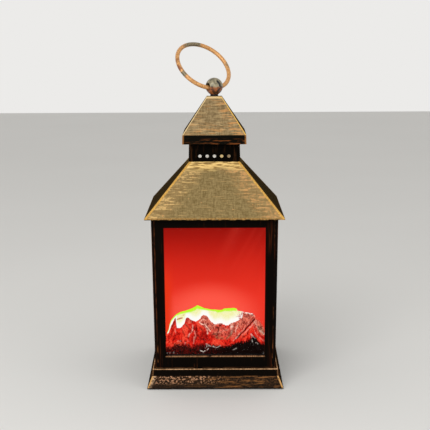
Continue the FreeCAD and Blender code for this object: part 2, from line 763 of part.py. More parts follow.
# Slide switch: housing on the plate and a flanged knob in the plate's slot
switch_blank = block(about(SWITCH_X, "switch_wide"), about(0, "switch_long"),
                     (PLATE_TOP, f"{PLATE_TOP} + switch_tall"))
switch_hollow = block(about(SWITCH_X, "knob_wide + 2 * (knob_flange + clearance)"),
                      about(0, "switch_travel + knob_long + 2 * (knob_flange + clearance)"),
                      (f"{PLATE_TOP} - overrun", f"{PLATE_TOP} + knob_flange_tall + 2 * seat_gap"))
part("switch_case", cut(switch_blank, switch_hollow))
KNOB_Y = "-switch_travel / 2"
knob_stem = block(about(SWITCH_X, "knob_wide"), about(KNOB_Y, "knob_long"),
                  ("foot_stand + knob_sink", f"{PLATE_TOP} + seat_gap + knob_flange_tall"))
knob_flange = block(about(SWITCH_X, "knob_wide + 2 * knob_flange"),
                    about(KNOB_Y, "knob_long + 2 * knob_flange"),
                    (f"{PLATE_TOP} + seat_gap", f"{PLATE_TOP} + seat_gap + knob_flange_tall"))
part("switch_knob", fuse(knob_stem, knob_flange))

# Body shell: tapering walls with bevelled corners, window, blind side panels and back opening
body_block = square_frustum("body_bottom_half", LEDGE, "body_top_half", EAVE)
bevel_block = square_frustum("(2 * body_bottom_half - corner_bevel) / sqrt(2)", LEDGE,
                             "(2 * body_top_half - corner_bevel) / sqrt(2)", EAVE)
place(bevel_block, turn=(45, 0, 90))
body_walls = cut(common(body_block, bevel_block),
                 long_frustum("body_bottom_half - body_wall", LEDGE, "body_top_half - body_wall", EAVE))
window_low, window_high = both(window_half(SILL)), both(window_half(WINDOW_TOP))
front_span = ("-(body_top_half + overrun)", "-(body_bottom_half - body_wall - overrun)")
body_cuts = [frustum(window_low, front_span, SILL, window_high, front_span, WINDOW_TOP)]
for side in (-1, 1):
    panel_low = spread(side, f"{body_half(SILL)} - panel_sink", "body_top_half + overrun")
    panel_high = spread(side, f"{body_half(WINDOW_TOP)} - panel_sink", "body_top_half + overrun")
    body_cuts.append(frustum(panel_low, window_low, SILL, panel_high, window_high, WINDOW_TOP))


def back_span(z):
    return (f"{body_half(z)} - cover_thick", "body_top_half + overrun")


body_cuts.append(frustum(window_low, back_span(SILL), SILL, window_high, back_span(WINDOW_TOP), WINDOW_TOP))
body_cuts.append(block(both("window_bottom_half - cover_lap"),
                       ("body_bottom_half - body_wall - overrun - rail_depth", "body_top_half + overrun"),
                       (f"{SILL} + cover_lap", f"{WINDOW_TOP} - cover_lap")))
body_adds = []
BOSS_LOW = f"({LEDGE} + seat_gap)"
WEB_LOW = f"({LEDGE} + spigot_rise + clearance)"
WEB_HIGH = f"({SILL} - pane_lap - clearance)"
WEB_REACH = "(body_bottom_half - body_wall / 2)"
GUSSET_TOP = f"({EAVE} - roof_spigot - clearance)"
GUSSET_WALL = "(body_top_half - body_wall / 2)"
for side_x, side_y in QUADRANTS:
    x, y = quarter(side_x, side_y, "body_screw_at")
    roof_x, roof_y = quarter(side_x, side_y, "roof_screw_at")
    body_adds.append(cylinder("boss_radius", f"{CHASSIS_UNDER} - {BOSS_LOW}", x, y, BOSS_LOW))
    body_adds.append(block(spread(side_x, "body_screw_at", WEB_REACH), about(y, "spigot_wall"),
                           (WEB_LOW, WEB_HIGH)))
    body_adds.append(block(about(x, "spigot_wall"), spread(side_y, "body_screw_at", WEB_REACH),
                           (WEB_LOW, WEB_HIGH)))
    body_adds.append(block(spread(side_x, "gusset_reach", GUSSET_WALL),
                           spread(side_y, "gusset_reach", GUSSET_WALL),
                           (f"{GUSSET_TOP} - gusset_thick", GUSSET_TOP)))
    body_cuts.append(cylinder(PILOT, f"{CHASSIS_UNDER} - {LEDGE} + 2 * overrun", x, y,
                              f"{LEDGE} - overrun"))
    body_cuts.append(cylinder(PASSAGE, "gusset_thick + 2 * overrun", roof_x, roof_y,
                              f"{GUSSET_TOP} - gusset_thick - overrun"))

# Rails that hold the screen's side edges
RAIL_LOW = f"({CHASSIS_TOP} + clearance)"
RAIL_HIGH = f"({WINDOW_TOP} + screen_over)"


def rail_span(side, z):
    wall = body_inner(z)
    return spread(side, f"{wall} - rail_depth", f"{wall} + body_wall / 2")


for side in (-1, 1):
    rail_low, rail_high = rail_span(side, RAIL_LOW), rail_span(side, RAIL_HIGH)
    for near_edge in ("screen_y - clearance - rail_width", "screen_y + screen_thick + clearance"):
        rail_y = (near_edge, f"{near_edge} + rail_width")
        body_adds.append(frustum(rail_low, rail_y, RAIL_LOW, rail_high, rail_y, RAIL_HIGH))

# Bosses beside the pane for the retainer's screws, and bosses for the back cover's screws
RETAINER_SCREW_Z = [f"({SILL} + retainer_screw_inset)", f"({WINDOW_TOP} - retainer_screw_inset)"]
COVER_SCREW_Z = [f"({SILL} + cover_screw_inset)", f"({WINDOW_TOP} - cover_screw_inset)"]
for side in (-1, 1):
    for z in RETAINER_SCREW_Z:
        x = f"{side} * retainer_screw_x"
        body_adds.append(cylinder("small_boss_radius", "body_wall / 2 + pane_thick",
                                  x, f"-({body_inner(z)} + body_wall / 2)", z, "y"))
        body_cuts.append(cylinder(SMALL_PILOT, "pane_thick + 3 * overrun",
                                  x, f"-({body_inner(z)} + body_wall / 4)", z, "y"))
    for z in COVER_SCREW_Z:
        x = f"{side} * cover_screw_x"
        body_adds.append(cylinder("small_boss_radius", "cover_screw_length - cover_thick",
                                  x, f"{body_half(z)} - cover_thick - seat_gap", z, "-y"))
        body_cuts.append(cylinder(SMALL_PILOT, "cover_screw_length + overrun",
                                  x, f"{body_half(z)} + overrun", z, "-y"))
part("body_shell", cut(fuse(body_walls, *body_adds), *body_cuts))
part("body_screws", group(*[screw(x, y, DECK_UNDER, "z",
                                  f"plinth_deck + body_screw_share * ({CHASSIS_UNDER} - {LEDGE})")
                            for x, y in four("body_screw_at")]))

# Window pane and its retainer, which lean with the front wall
PANE_LOW, PANE_HIGH = f"({SILL} - pane_lap)", f"({WINDOW_TOP} + pane_lap)"
FRAME_LOW, FRAME_HIGH = f"({CHASSIS_UNDER} + clearance)", f"({WINDOW_TOP} + pane_lap + clearance)"


def pane_half(z):
    return f"({window_half(z)} + pane_lap - clearance)"


def pane_face(z):
    return f"({body_inner(z)} - seat_gap)"


def retainer_face(z):
    return f"({body_inner(z)} - pane_thick - 2 * seat_gap)"


def retainer_side(z):
    return "inside_half"


def retainer_hole(z):
    return f"({window_half(z)} + retainer_open)"


def retainer_front(z):
    return f"({retainer_face(z)} + overrun)"


part("window_pane", upright_panel(PANE_LOW, PANE_HIGH, pane_half, pane_face, "pane_thick"))
retainer_cuts = [upright_panel(f"({SILL} - clearance)", f"({WINDOW_TOP} + clearance)", retainer_hole,
                               retainer_front, "retainer_thick + 2 * overrun")]
retainer_screws = []
for side in (-1, 1):
    for z in RETAINER_SCREW_Z:
        x = f"{side} * retainer_screw_x"
        retainer_cuts.append(cylinder(SMALL_PASSAGE, "retainer_thick + 2 * overrun",
                                      x, f"-({retainer_face(z)} + overrun)", z, "y"))
        retainer_screws.append(small_screw(x, f"-({retainer_face(z)} - retainer_thick - seat_gap)", z, "-y",
                                           "retainer_screw_length"))
retainer_frame = upright_panel(FRAME_LOW, FRAME_HIGH, retainer_side, retainer_face, "retainer_thick")
part("pane_retainer", cut(retainer_frame, *retainer_cuts))
part("retainer_screws", group(*retainer_screws))

# Back cover in its recess, with a stiffening rim inside and four screws
COVER_LOW, COVER_HIGH = f"({SILL} + clearance)", f"({WINDOW_TOP} - clearance)"


def cover_side(z):
    return both(f"{window_half(z)} - clearance")


def cover_through(z):
    return (f"{body_half(z)} - cover_thick + seat_gap", body_half(z))


cover_plate = frustum(cover_side(COVER_LOW), cover_through(COVER_LOW), COVER_LOW,
                      cover_side(COVER_HIGH), cover_through(COVER_HIGH), COVER_HIGH)
RIM_X = "(window_bottom_half - cover_lap - clearance)"
RIM_LOW, RIM_HIGH = f"({SILL} + cover_lap + clearance)", f"({WINDOW_TOP} - cover_lap - clearance)"
RIM_Y = ("body_bottom_half - cover_thick - cover_rib_tall", "body_bottom_half - cover_thick / 2")
cover_rim = cut(block(both(RIM_X), RIM_Y, (RIM_LOW, RIM_HIGH)),
                block(both(f"{RIM_X} - cover_rib"),
                      (f"{RIM_Y[0]} - overrun", f"{RIM_Y[1]} + overrun"),
                      (f"{RIM_LOW} + cover_rib", f"{RIM_HIGH} - cover_rib")))
cover_cuts = []
cover_screws = []
for side in (-1, 1):
    for z in COVER_SCREW_Z:
        x = f"{side} * cover_screw_x"
        cover_cuts.append(cylinder(SMALL_PASSAGE, "cover_thick + 2 * overrun",
                                   x, f"{body_half(z)} + overrun", z, "-y"))
        cover_screws.append(small_screw(x, f"{body_half(z)} + seat_gap", z, "-y", "cover_screw_length"))
part("back_cover", cut(fuse(cover_plate, cover_rim), *cover_cuts))
part("back_cover_screws", group(*cover_screws))

# Chassis deck on the body's bosses, with light openings and standoffs for the board
CHASSIS_HALF = f"({body_inner(CHASSIS_UNDER)} - clearance)"
MOTOR_FACE = "(bracket_x + bracket_thick)"
BEARING_INNER = "-(bearing_x - bracket_thick)"
STANDOFFS = [(f"{side} * standoff_x", y) for side in (-1, 1) for y in ("-standoff_front", "standoff_back")]
BRACKET_HOLES = [(f"({face} + bracket_foot / 2)", f"rotor_y + {side} * {half} * {FOOT_SCREW_SHARE}")
                 for face, half in ((MOTOR_FACE, "bracket_half"), (BEARING_INNER, "bearing_half"))
                 for side in (-1, 1)]
chassis_through = (f"{CHASSIS_UNDER} - overrun", f"{CHASSIS_TOP} + overrun")
chassis_adds = [block(both(CHASSIS_HALF), ("-chassis_front", CHASSIS_HALF), (CHASSIS_UNDER, CHASSIS_TOP))]
chassis_cuts = [block(both("ember_slot_half"), ("-ember_slot_front", "-ember_slot_back"), chassis_through),
                block(both("flame_slot_half"), ("flame_slot_front", "flame_slot_back"), chassis_through)]
for x, y in STANDOFFS:
    chassis_adds.append(cylinder("standoff_radius", "board_drop + chassis_thick / 2", x, y, BOARD_TOP))
    chassis_cuts.append(cylinder(SMALL_PILOT, "board_screw_length", x, y, f"{BOARD_TOP} - overrun"))
for x, y in four("body_screw_at"):
    chassis_cuts.append(cylinder(PASSAGE, "chassis_thick + 2 * overrun", x, y,
                                 f"{CHASSIS_UNDER} - overrun"))
for x, y in BRACKET_HOLES:
    chassis_cuts.append(cylinder(SMALL_PILOT, "chassis_thick + 2 * overrun", x, y,
                                 f"{CHASSIS_UNDER} - overrun"))
part("chassis_deck", cut(fuse(*chassis_adds), *chassis_cuts))
part("chassis_screws", group(*[screw(x, y, f"{CHASSIS_TOP} + seat_gap", "-z",
                                     f"chassis_thick + chassis_screw_share * ({CHASSIS_UNDER} - {LEDGE})")
                               for x, y in four("body_screw_at")]))

# Circuit board under the deck, with ember lamps in front, flame lamps behind and its parts
BOARD_UNDER = f"({BOARD_TOP} - board_thick)"
board_blank = block(both("board_half"), ("-board_front", "board_back"), (BOARD_UNDER, BOARD_TOP))
board_holes = [cylinder(SMALL_PASSAGE, "board_thick + 2 * overrun", x, y, f"{BOARD_UNDER} - overrun")
               for x, y in STANDOFFS]
part("lamp_board", cut(board_blank, *board_holes))
part("board_screws", group(*[small_screw(x, y, BOARD_UNDER, "z", "board_screw_length")
                             for x, y in STANDOFFS]))


def lamp(label, x, y, z, tall):
    """A round lamp with a flanged foot and a domed top."""
    stem = cylinder("lamp_radius", f"{tall} - lamp_radius", x, y, z)
    rim = cylinder("lamp_radius + lamp_rim", "lamp_rim_tall", x, y, z)
    dome = doc.addObject("Part::Sphere", label)
    bind(dome, Radius="lamp_radius")
    return fuse(stem, rim, place(dome, x, y, f"{z} + {tall} - lamp_radius"))


def lamp_row(label, count, pitch, y):
    return group(*[lamp(label, f"{step - (count - 1) / 2} * {pitch}", y, BOARD_TOP, "lamp_tall")
                   for step in range(count)])


part("ember_lamps", lamp_row("ember_dome", EMBER_LAMPS, "ember_lamp_pitch", "-ember_lamp_y"))
part("flame_lamps", lamp_row("flame_dome", FLAME_LAMPS, "flame_lamp_pitch", "flame_lamp_y"))
chip = block(about(0, "chip_long"), about(0, "chip_wide"), (BOARD_TOP, f"{BOARD_TOP} + chip_tall"))
capacitors = [cylinder("capacitor_radius", "capacitor_tall", f"{side} * chip_long * {CAPACITOR_SHARE}", 0,
                       BOARD_TOP) for side in (-1, 1)]
part("board_parts", group(chip, *capacitors))

# Ember bed: a hollow faceted heap. Each row gives a depth share from the front edge,
# then height shares at even steps from left to right.
BED_SHARES = [
    (0.00, [0.18, 0.12, 0.16, 0.12, 0.20, 0.14, 0.18, 0.12, 0.15, 0.10, 0.18]),
    (0.30, [0.34, 0.46, 0.36, 0.48, 0.38, 0.52, 0.34, 0.46, 0.54, 0.40, 0.30]),
    (0.52, [0.44, 0.80, 0.56, 0.72, 0.58, 0.66, 0.52, 0.62, 0.78, 0.72, 0.40]),
    (0.82, [0.40, 0.74, 0.88, 1.00, 0.94, 0.90, 0.88, 0.91, 0.86, 0.76, 0.44]),
    (1.00, [0.24, 0.52, 0.64, 0.70, 0.68, 0.64, 0.62, 0.64, 0.60, 0.50, 0.24]),
]


# What stands under the bed, from the ground up, and what stands between it and the body's front
BELOW_THE_BED = ["foot_stand", "plate_thick", "cell_lift", "cell_radius", "cell_radius", "clearance",
                 "box_wall", "board_clear", "board_thick", "board_drop", "chassis_thick"]
BEFORE_THE_BED = ["body_wall", "clearance", "pane_thick", "seat_gap", "seat_gap", "retainer_thick",
                  "chassis_margin"]


def flat_face(*corners):
    return Part.Face(Part.makePolygon([*corners, corners[0]]))


def heap(inset=0, drop=0):
    """The heap as one solid of flat faces, or its hollow: drawn in and lowered."""
    half = size("body_bottom_half") - size("bed_side_inset") - inset
    front = inset + sum(size(name) for name in BEFORE_THE_BED) - size("body_bottom_half")
    back = -size("bed_back") - inset
    low = sum(size(name) for name in BELOW_THE_BED)
    under = low - (size("overrun") if inset else 0)
    last = len(BED_SHARES[0][1]) - 1
    top = []
    for depth_share, height_shares in BED_SHARES:
        y = front + (back - front) * depth_share
        top.append([FreeCAD.Vector(-half + 2 * half * step / last, y, low + share * size("bed_peak") - drop)
                    for step, share in enumerate(height_shares)])
    faces = []
    for row in range(len(top) - 1):
        for step in range(last):
            a, b = top[row][step], top[row][step + 1]
            c, d = top[row + 1][step + 1], top[row + 1][step]
            if (row + step) % 2:
                faces += [flat_face(a, b, c), flat_face(a, c, d)]
            else:
                faces += [flat_face(a, b, d), flat_face(b, c, d)]
    feet = [(-half, front), (half, front), (half, back), (-half, back)]
    corners = [FreeCAD.Vector(x, y, under) for x, y in feet]
    faces.append(flat_face(*corners))
    faces.append(flat_face(*top[0], corners[1], corners[0]))
    faces.append(flat_face(*top[-1], corners[2], corners[3]))
    faces.append(flat_face(*[line[0] for line in top], corners[3], corners[0]))
    faces.append(flat_face(*[line[-1] for line in top], corners[2], corners[1]))
    return Part.Solid(Part.Shell(faces))


bed_shell = doc.addObject("Part::Feature", "bed_shell")
bed_shell.Shape = heap().cut(heap(size("bed_wall"), size("bed_crust")))
bed_notches = [cylinder("screw_head + 2 * clearance", "overrun + screw_head_tall + 2 * clearance",
                        f"{side} * body_screw_at", "-body_screw_at", f"{CHASSIS_TOP} - overrun")
               for side in (-1, 1)]
part("ember_bed", cut(bed_shell, *bed_notches))

# Flame screen, a frosted sheet that stands on the deck between the rails
SCREEN_HIGH = f"({WINDOW_TOP} + screen_over)"


def screen_side(z):
    return both(f"{body_inner(z)} - screen_side_gap")


SCREEN_Y = ("screen_y", "screen_y + screen_thick")
part("flame_screen", frustum(screen_side(CHASSIS_TOP), SCREEN_Y, CHASSIS_TOP,
                             screen_side(SCREEN_HIGH), SCREEN_Y, SCREEN_HIGH))

# Turning reflector: a shaft, and a hub with short vanes that step round it
ROTOR_Z = f"({CHASSIS_TOP} + rotor_rise)"
part("rotor_shaft", cylinder("shaft_radius", "shaft_left + bracket_x + bracket_thick + motor_bore_depth",
                             "-shaft_left", "rotor_y", ROTOR_Z, "x"))
ROOT = "hub_radius / 2"
vanes = []
for station in range(VANE_STATIONS):
    for blade in range(VANES_AROUND):
        vane = doc.addObject("Part::Box", "vane")
        bind(vane, Length="vane_long", Width=f"vane_reach - {ROOT}", Height="vane_thick")
        angle = f"({station} * vane_turn + {blade * 360 / VANES_AROUND})"
        x = f"-hub_left + {station} * (hub_left + hub_right - vane_long) / {VANE_STATIONS - 1}"
        y = f"rotor_y + {ROOT} * cos({angle})"
        place(vane, x, y, f"{ROTOR_Z} + {ROOT} * sin({angle})", (0, 0, angle))
        vanes.append(vane)
hub = cylinder("hub_radius", "hub_left + hub_right", "-hub_left", "rotor_y", ROTOR_Z, "x")
hub_bore = cylinder("shaft_radius + running_gap / 2", "hub_left + hub_right + 2 * overrun",
                    "-hub_left - overrun", "rotor_y", ROTOR_Z, "x")
part("flame_rotor", cut(fuse(hub, *vanes), hub_bore))

# Motor, its bracket and the far bearing
motor = revolved("motor_can", [("shaft_radius + running_gap", "-motor_nose"),
                               ("motor_nose_radius", "-motor_nose"), ("motor_nose_radius", 0),
                               ("motor_radius", 0), ("motor_radius", "motor_long"),
                               ("motor_cap_radius", "motor_long"),
                               ("motor_cap_radius", "motor_long + motor_cap"),
                               (0, "motor_long + motor_cap"), (0, "motor_bore_depth + clearance"),
                               ("shaft_radius + running_gap", "motor_bore_depth + clearance")])
place(motor, MOTOR_FACE, "rotor_y", ROTOR_Z, (0, 90, 0))
MOTOR_SCREW_Y = [f"(rotor_y + {side} * motor_screw_at)" for side in (-1, 1)]
part("motor", cut(motor, *[cylinder(SMALL_PILOT, "motor_screw_length",
                                    f"{MOTOR_FACE} - overrun", y, ROTOR_Z, "x") for y in MOTOR_SCREW_Y]))
BRACKET_TOP = f"({ROTOR_Z} + bracket_over)"


def rotor_bracket(plate_x, foot_x, half, hole):
    """An upright plate with a foot, and a hole on the rotor's axis."""
    side = (f"rotor_y - {half}", f"rotor_y + {half}")
    plate = block(plate_x, side, (CHASSIS_TOP, BRACKET_TOP))
    foot = block(foot_x, side, (CHASSIS_TOP, f"{CHASSIS_TOP} + bracket_thick"))
    through = "bracket_thick + 2 * overrun"
    holes = [cylinder(hole, through, f"{plate_x[0]} - overrun", "rotor_y", ROTOR_Z, "x")]
    for x, y in BRACKET_HOLES:
        holes.append(cylinder(SMALL_PASSAGE, through, x, y, f"{CHASSIS_TOP} - overrun"))
    return fuse(plate, foot), holes


motor_frame, motor_holes = rotor_bracket(("bracket_x", MOTOR_FACE),
                                         ("bracket_x", f"{MOTOR_FACE} + bracket_foot"),
                                         "bracket_half", "motor_nose_radius + clearance")
bearing_frame, bearing_holes = rotor_bracket(("-bearing_x", BEARING_INNER),
                                             ("-bearing_x", f"{BEARING_INNER} + bracket_foot"),
                                             "bearing_half", "bush_radius + running_gap / 2")
motor_holes += [cylinder(SMALL_PASSAGE, "bracket_thick + 2 * overrun",
                         "bracket_x - overrun", y, ROTOR_Z, "x") for y in MOTOR_SCREW_Y]
part("motor_bracket", cut(motor_frame, *motor_holes))
part("bearing_bracket", cut(bearing_frame, *bearing_holes))
part("motor_screws", group(*[small_screw("bracket_x", y, ROTOR_Z, "x", "motor_screw_length")
                             for y in MOTOR_SCREW_Y]))
part("bracket_screws", group(*[small_screw(x, y, f"{CHASSIS_TOP} + bracket_thick", "-z",
                                           "bracket_screw_length") for x, y in BRACKET_HOLES]))
bush = revolved("bush", [("shaft_radius + running_gap", 0), ("bush_radius", 0),
                         ("bush_radius", "bracket_thick"), ("bush_flange_radius", "bracket_thick"),
                         ("bush_flange_radius", "bracket_thick + bush_flange"),
                         ("shaft_radius + running_gap", "bracket_thick + bush_flange")])
place(bush, "-bearing_x", "rotor_y", ROTOR_Z, (0, 90, 0))
part("rotor_bush", bush)

# Roof: four hollow slopes over a flange that rests on the body's walls
SLOPE_LOW = f"({EAVE} + eave_edge)"
CAVITY_LOW = f"({EAVE} + roof_flange)"
CAVITY_HIGH = f"({ROOF_TOP} - roof_plate)"
roof_outside = fuse(square_block("eave_half", EAVE, SLOPE_LOW),
                    square_frustum("eave_half", SLOPE_LOW, "roof_top_half", ROOF_TOP))
roof_hollow = square_frustum(f"{roof_half(CAVITY_LOW)} - roof_wall", CAVITY_LOW,
                             f"{roof_half(CAVITY_HIGH)} - roof_wall", CAVITY_HIGH)
ROOF_RIM = f"({body_inner(EAVE)} - clearance)"
roof_rim = cut(square_block(ROOF_RIM, f"{EAVE} - roof_spigot", f"{EAVE} + overrun"),
               square_block("roof_open_half", f"{EAVE} - roof_spigot - overrun", f"{EAVE} + 2 * overrun"))
ROOF_BOSS_LOW = f"({GUSSET_TOP} + seat_gap)"
roof_opening = square_block("roof_open_half", f"{EAVE} - overrun", f"{CAVITY_LOW} + overrun")
roof_adds = [cut(roof_outside, roof_hollow, roof_opening), roof_rim]
roof_cuts = [square_block("roof_port_half", f"{CAVITY_HIGH} - overrun", f"{ROOF_TOP} + overrun")]
for side_x, side_y in QUADRANTS:
    x, y = quarter(side_x, side_y, "roof_screw_at")
    roof_adds.append(cylinder("boss_radius", f"{CAVITY_LOW} + roof_flange - {ROOF_BOSS_LOW}", x, y,
                              ROOF_BOSS_LOW))
    roof_adds.append(block(spread(side_x, "roof_screw_at", "roof_open_half + overrun"),
                           about(y, "roof_flange"), (EAVE, CAVITY_LOW)))
    roof_cuts.append(cylinder(PILOT, "roof_screw_length", x, y, f"{ROOF_BOSS_LOW} - overrun"))
for x, y in four("neck_screw_at"):
    roof_cuts.append(cylinder(PASSAGE, "roof_plate + 2 * overrun", x, y, f"{CAVITY_HIGH} - overrun"))
part("roof_shell", cut(fuse(*roof_adds), *roof_cuts))
part("roof_screws", group(*[screw(x, y, f"{GUSSET_TOP} - gusset_thick", "z", "roof_screw_length")
                            for x, y in four("roof_screw_at")]))

# Neck: a square collar with five round vents on each side
neck_hollow = square_block("neck_top_half - neck_wall", NECK_FLOOR, f"{NECK_TOP} - neck_lip")
neck_walls = cut(square_frustum("neck_bottom_half", ROOF_TOP, "neck_top_half", NECK_TOP), neck_hollow)
neck_bosses = [cylinder("small_boss_radius", "neck_boss_rise + neck_floor / 2", x, y,
                        f"{ROOF_TOP} + neck_floor / 2") for x, y in four("neck_screw_at")]
neck_cuts = [square_block("neck_lip_half", f"{NECK_TOP} - neck_lip - overrun", f"{NECK_TOP} + overrun"),
             square_block("crown_board_half - neck_wall",
                          f"{ROOF_TOP} - overrun", f"{NECK_FLOOR} + overrun")]
VENT_REACH = "(neck_bottom_half + overrun)"
VENT_START = "(neck_top_half - neck_wall - overrun)"
VENT_Z = f"{ROOF_TOP} + vent_rise"
for step in range(VENTS_PER_SIDE):
    along = f"{step - (VENTS_PER_SIDE - 1) / 2} * vent_pitch"
    for start in (f"-{VENT_REACH}", VENT_START):
        neck_cuts.append(cylinder("vent_radius", f"{VENT_REACH} - {VENT_START}", along, start, VENT_Z, "y"))
        neck_cuts.append(cylinder("vent_radius", f"{VENT_REACH} - {VENT_START}", start, along, VENT_Z, "x"))
for x, y in four("neck_screw_at"):
    neck_cuts.append(cylinder(SMALL_PILOT, "neck_screw_length", x, y, f"{ROOF_TOP} - overrun"))
for x, y in four("cap_screw_at"):
    neck_cuts.append(cylinder(SMALL_PASSAGE, "neck_lip + 2 * overrun", x, y,
                              f"{NECK_TOP} - neck_lip - overrun"))
part("vent_neck", cut(fuse(neck_walls, *neck_bosses), *neck_cuts))
part("neck_screws", group(*[small_screw(x, y, CAVITY_HIGH, "z", "neck_screw_length")
                            for x, y in four("neck_screw_at")]))

# White liner behind the vents, and the lamp that lights it
LINER_HALF = "(neck_top_half - neck_wall - clearance)"
LINER_TOP = f"({NECK_TOP} - neck_lip - liner_drop)"
part("vent_liner", cut(square_block(LINER_HALF, NECK_FLOOR, LINER_TOP),
                       square_block(f"{LINER_HALF} - liner_thick",
                                    f"{NECK_FLOOR} - overrun", f"{LINER_TOP} + overrun")))
crown_board = padded("crown_board", rectangle("crown_board_half", "crown_board_half"), "board_thick")
part("crown_board", place(crown_board, 0, 0, NECK_FLOOR))
part("crown_lamp", lamp("crown_dome", 0, 0, f"({NECK_FLOOR} + board_thick)", "crown_lamp_tall"))

# Cap: skirt and steep hollow slopes with a solid tip for the stud
TIP_LOW = f"({CAP_TOP} - cap_tip)"
CAP_BOSS_TOP = f"({CAP_TOP} - cap_boss_across * cap_rise / (cap_slope_half - cap_top_half))"
cap_outside = fuse(square_frustum("cap_skirt_half", CAP_BOTTOM, "cap_slope_half", CAP_SHOULDER),
                   square_frustum("cap_slope_half", CAP_SHOULDER, "cap_top_half", CAP_TOP))
skirt_hollow = square_block("cap_slope_half - cap_wall_across", f"{CAP_BOTTOM} - overrun", CAP_SHOULDER)
slope_hollow = square_frustum("cap_slope_half - cap_wall_across", CAP_SHOULDER,
                              f"{cap_half(TIP_LOW)} - cap_wall_across", TIP_LOW)
cap_bosses = [cylinder("boss_radius - clearance", f"{CAP_BOSS_TOP} - {NECK_TOP}", x, y, NECK_TOP)
              for x, y in four("cap_screw_at")]
cap_holes = [cylinder(SMALL_PILOT, "cap_screw_length", x, y, f"{NECK_TOP} - overrun")
             for x, y in four("cap_screw_at")]
stud_hole = cylinder("stud_radius + running_gap", "cap_tip + 2 * overrun", 0, 0, f"{TIP_LOW} - overrun")
cap_walls = cut(cap_outside, skirt_hollow, slope_hollow)
part("cap_shell", cut(fuse(cap_walls, *cap_bosses), stud_hole, *cap_holes))
part("cap_screws", group(*[small_screw(x, y, f"{NECK_TOP} - neck_lip", "z", "cap_screw_length")
                           for x, y in four("cap_screw_at")]))

# Finial: ball with a cross hole for the ring, on a stud that turns in the cap
RING_BORE = "(ring_wire + ring_drop + running_gap)"
BALL_REACH = "(ball_radius + overrun)"
ball = doc.addObject("Part::Sphere", "ball")
place(bind(ball, Radius="ball_radius"), 0, 0, BALL)
ring_hole = cylinder(RING_BORE, f"2 * {BALL_REACH}", f"-{BALL_REACH} * cos(ring_turn)",
                     f"-{BALL_REACH} * sin(ring_turn)", BALL, "ring")
SHOULDER_LOW = f"({CAP_TOP} + running_gap)"
SHOULDER_RISE = "(ball_gap + stud_socket)"
part("finial_ball", cut(ball, ring_hole, cylinder("stud_shoulder", SHOULDER_RISE, 0, 0, SHOULDER_LOW)))
stud = revolved("stud", [(0, "-stud_length"), ("stud_radius", "-stud_length"), ("stud_radius", 0),
                         ("stud_shoulder", 0), ("stud_shoulder", SHOULDER_RISE), (0, SHOULDER_RISE)])
part("finial_stud", place(stud, 0, 0, SHOULDER_LOW))
STUD_FIT = "stud_radius + running_gap / 2"
washer = revolved("washer", [(STUD_FIT, 0), ("washer_radius", 0), ("washer_radius", "washer_thick"),
                             (STUD_FIT, "washer_thick")])
WASHER_LOW = f"({TIP_LOW} - running_gap - washer_thick)"
part("stud_washer", place(washer, 0, 0, WASHER_LOW))
nut_corners = [(f"nut_across / sqrt(3) * cos({60 * step})", f"nut_across / sqrt(3) * sin({60 * step})")
               for step in range(6)]
nut = place(padded("nut", nut_corners, "nut_tall"), 0, 0, f"{WASHER_LOW} - nut_tall")
nut_bore = cylinder(STUD_FIT, "nut_tall + 2 * overrun", 0, 0, f"{WASHER_LOW} - nut_tall - overrun")
part("stud_nut", cut(nut, nut_bore))

# Ring handle, turned with the ball and leaning back as it stands in its hole
ring = doc.addObject("Part::Torus", "ring")
bind(ring, Radius1="ring_radius", Radius2="ring_wire")
RING_BACK = "ring_radius * sin(ring_lean)"
place(ring, f"-{RING_BACK} * sin(ring_turn)", f"{RING_BACK} * cos(ring_turn)",
      f"{BALL} - ring_drop + ring_radius * cos(ring_lean)", ("ring_turn", 0, "90 - ring_lean"))
part("ring_handle", ring)

doc.recompute()

for thing in doc.Objects:
    if "Invalid" in thing.State or "Error" in thing.State:
        raise RuntimeError(f"{thing.Label} did not compute: {thing.State}")
for thing in made_parts:
    if thing.Shape.isNull() or not thing.Shape.isValid():
        raise RuntimeError(f"{thing.Label} has no valid shape")

os.makedirs("parts", exist_ok=True)
for thing in made_parts:
    thing.Shape.exportStep(f"parts/{thing.Label}.step")
    print(f"{thing.Label:20s} solids {len(thing.Shape.Solids):2d}  volume {thing.Shape.Volume:10.1f}")
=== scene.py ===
import math

import bpy
import numpy as np
from mathutils import Matrix, Vector, noise


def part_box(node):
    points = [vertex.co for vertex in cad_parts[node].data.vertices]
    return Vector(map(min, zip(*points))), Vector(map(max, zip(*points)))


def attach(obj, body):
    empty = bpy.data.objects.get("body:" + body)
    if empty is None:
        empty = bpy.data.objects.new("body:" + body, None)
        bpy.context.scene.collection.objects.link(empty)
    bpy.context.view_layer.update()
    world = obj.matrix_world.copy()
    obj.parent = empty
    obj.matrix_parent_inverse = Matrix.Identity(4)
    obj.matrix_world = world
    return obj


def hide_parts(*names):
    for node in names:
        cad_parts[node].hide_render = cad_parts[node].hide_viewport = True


# Flame effect lantern: black moulded plastic brushed with bronze, a heap of embers
# and a lit flame screen behind the front pane. Metres, +Z up, the window faces -Y.

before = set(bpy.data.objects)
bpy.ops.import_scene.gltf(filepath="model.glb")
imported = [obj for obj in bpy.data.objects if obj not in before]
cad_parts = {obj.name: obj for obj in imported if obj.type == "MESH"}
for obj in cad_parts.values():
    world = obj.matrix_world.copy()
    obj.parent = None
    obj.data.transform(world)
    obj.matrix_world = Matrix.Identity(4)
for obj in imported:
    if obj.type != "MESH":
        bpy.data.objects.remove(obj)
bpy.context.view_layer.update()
MM = 0.001

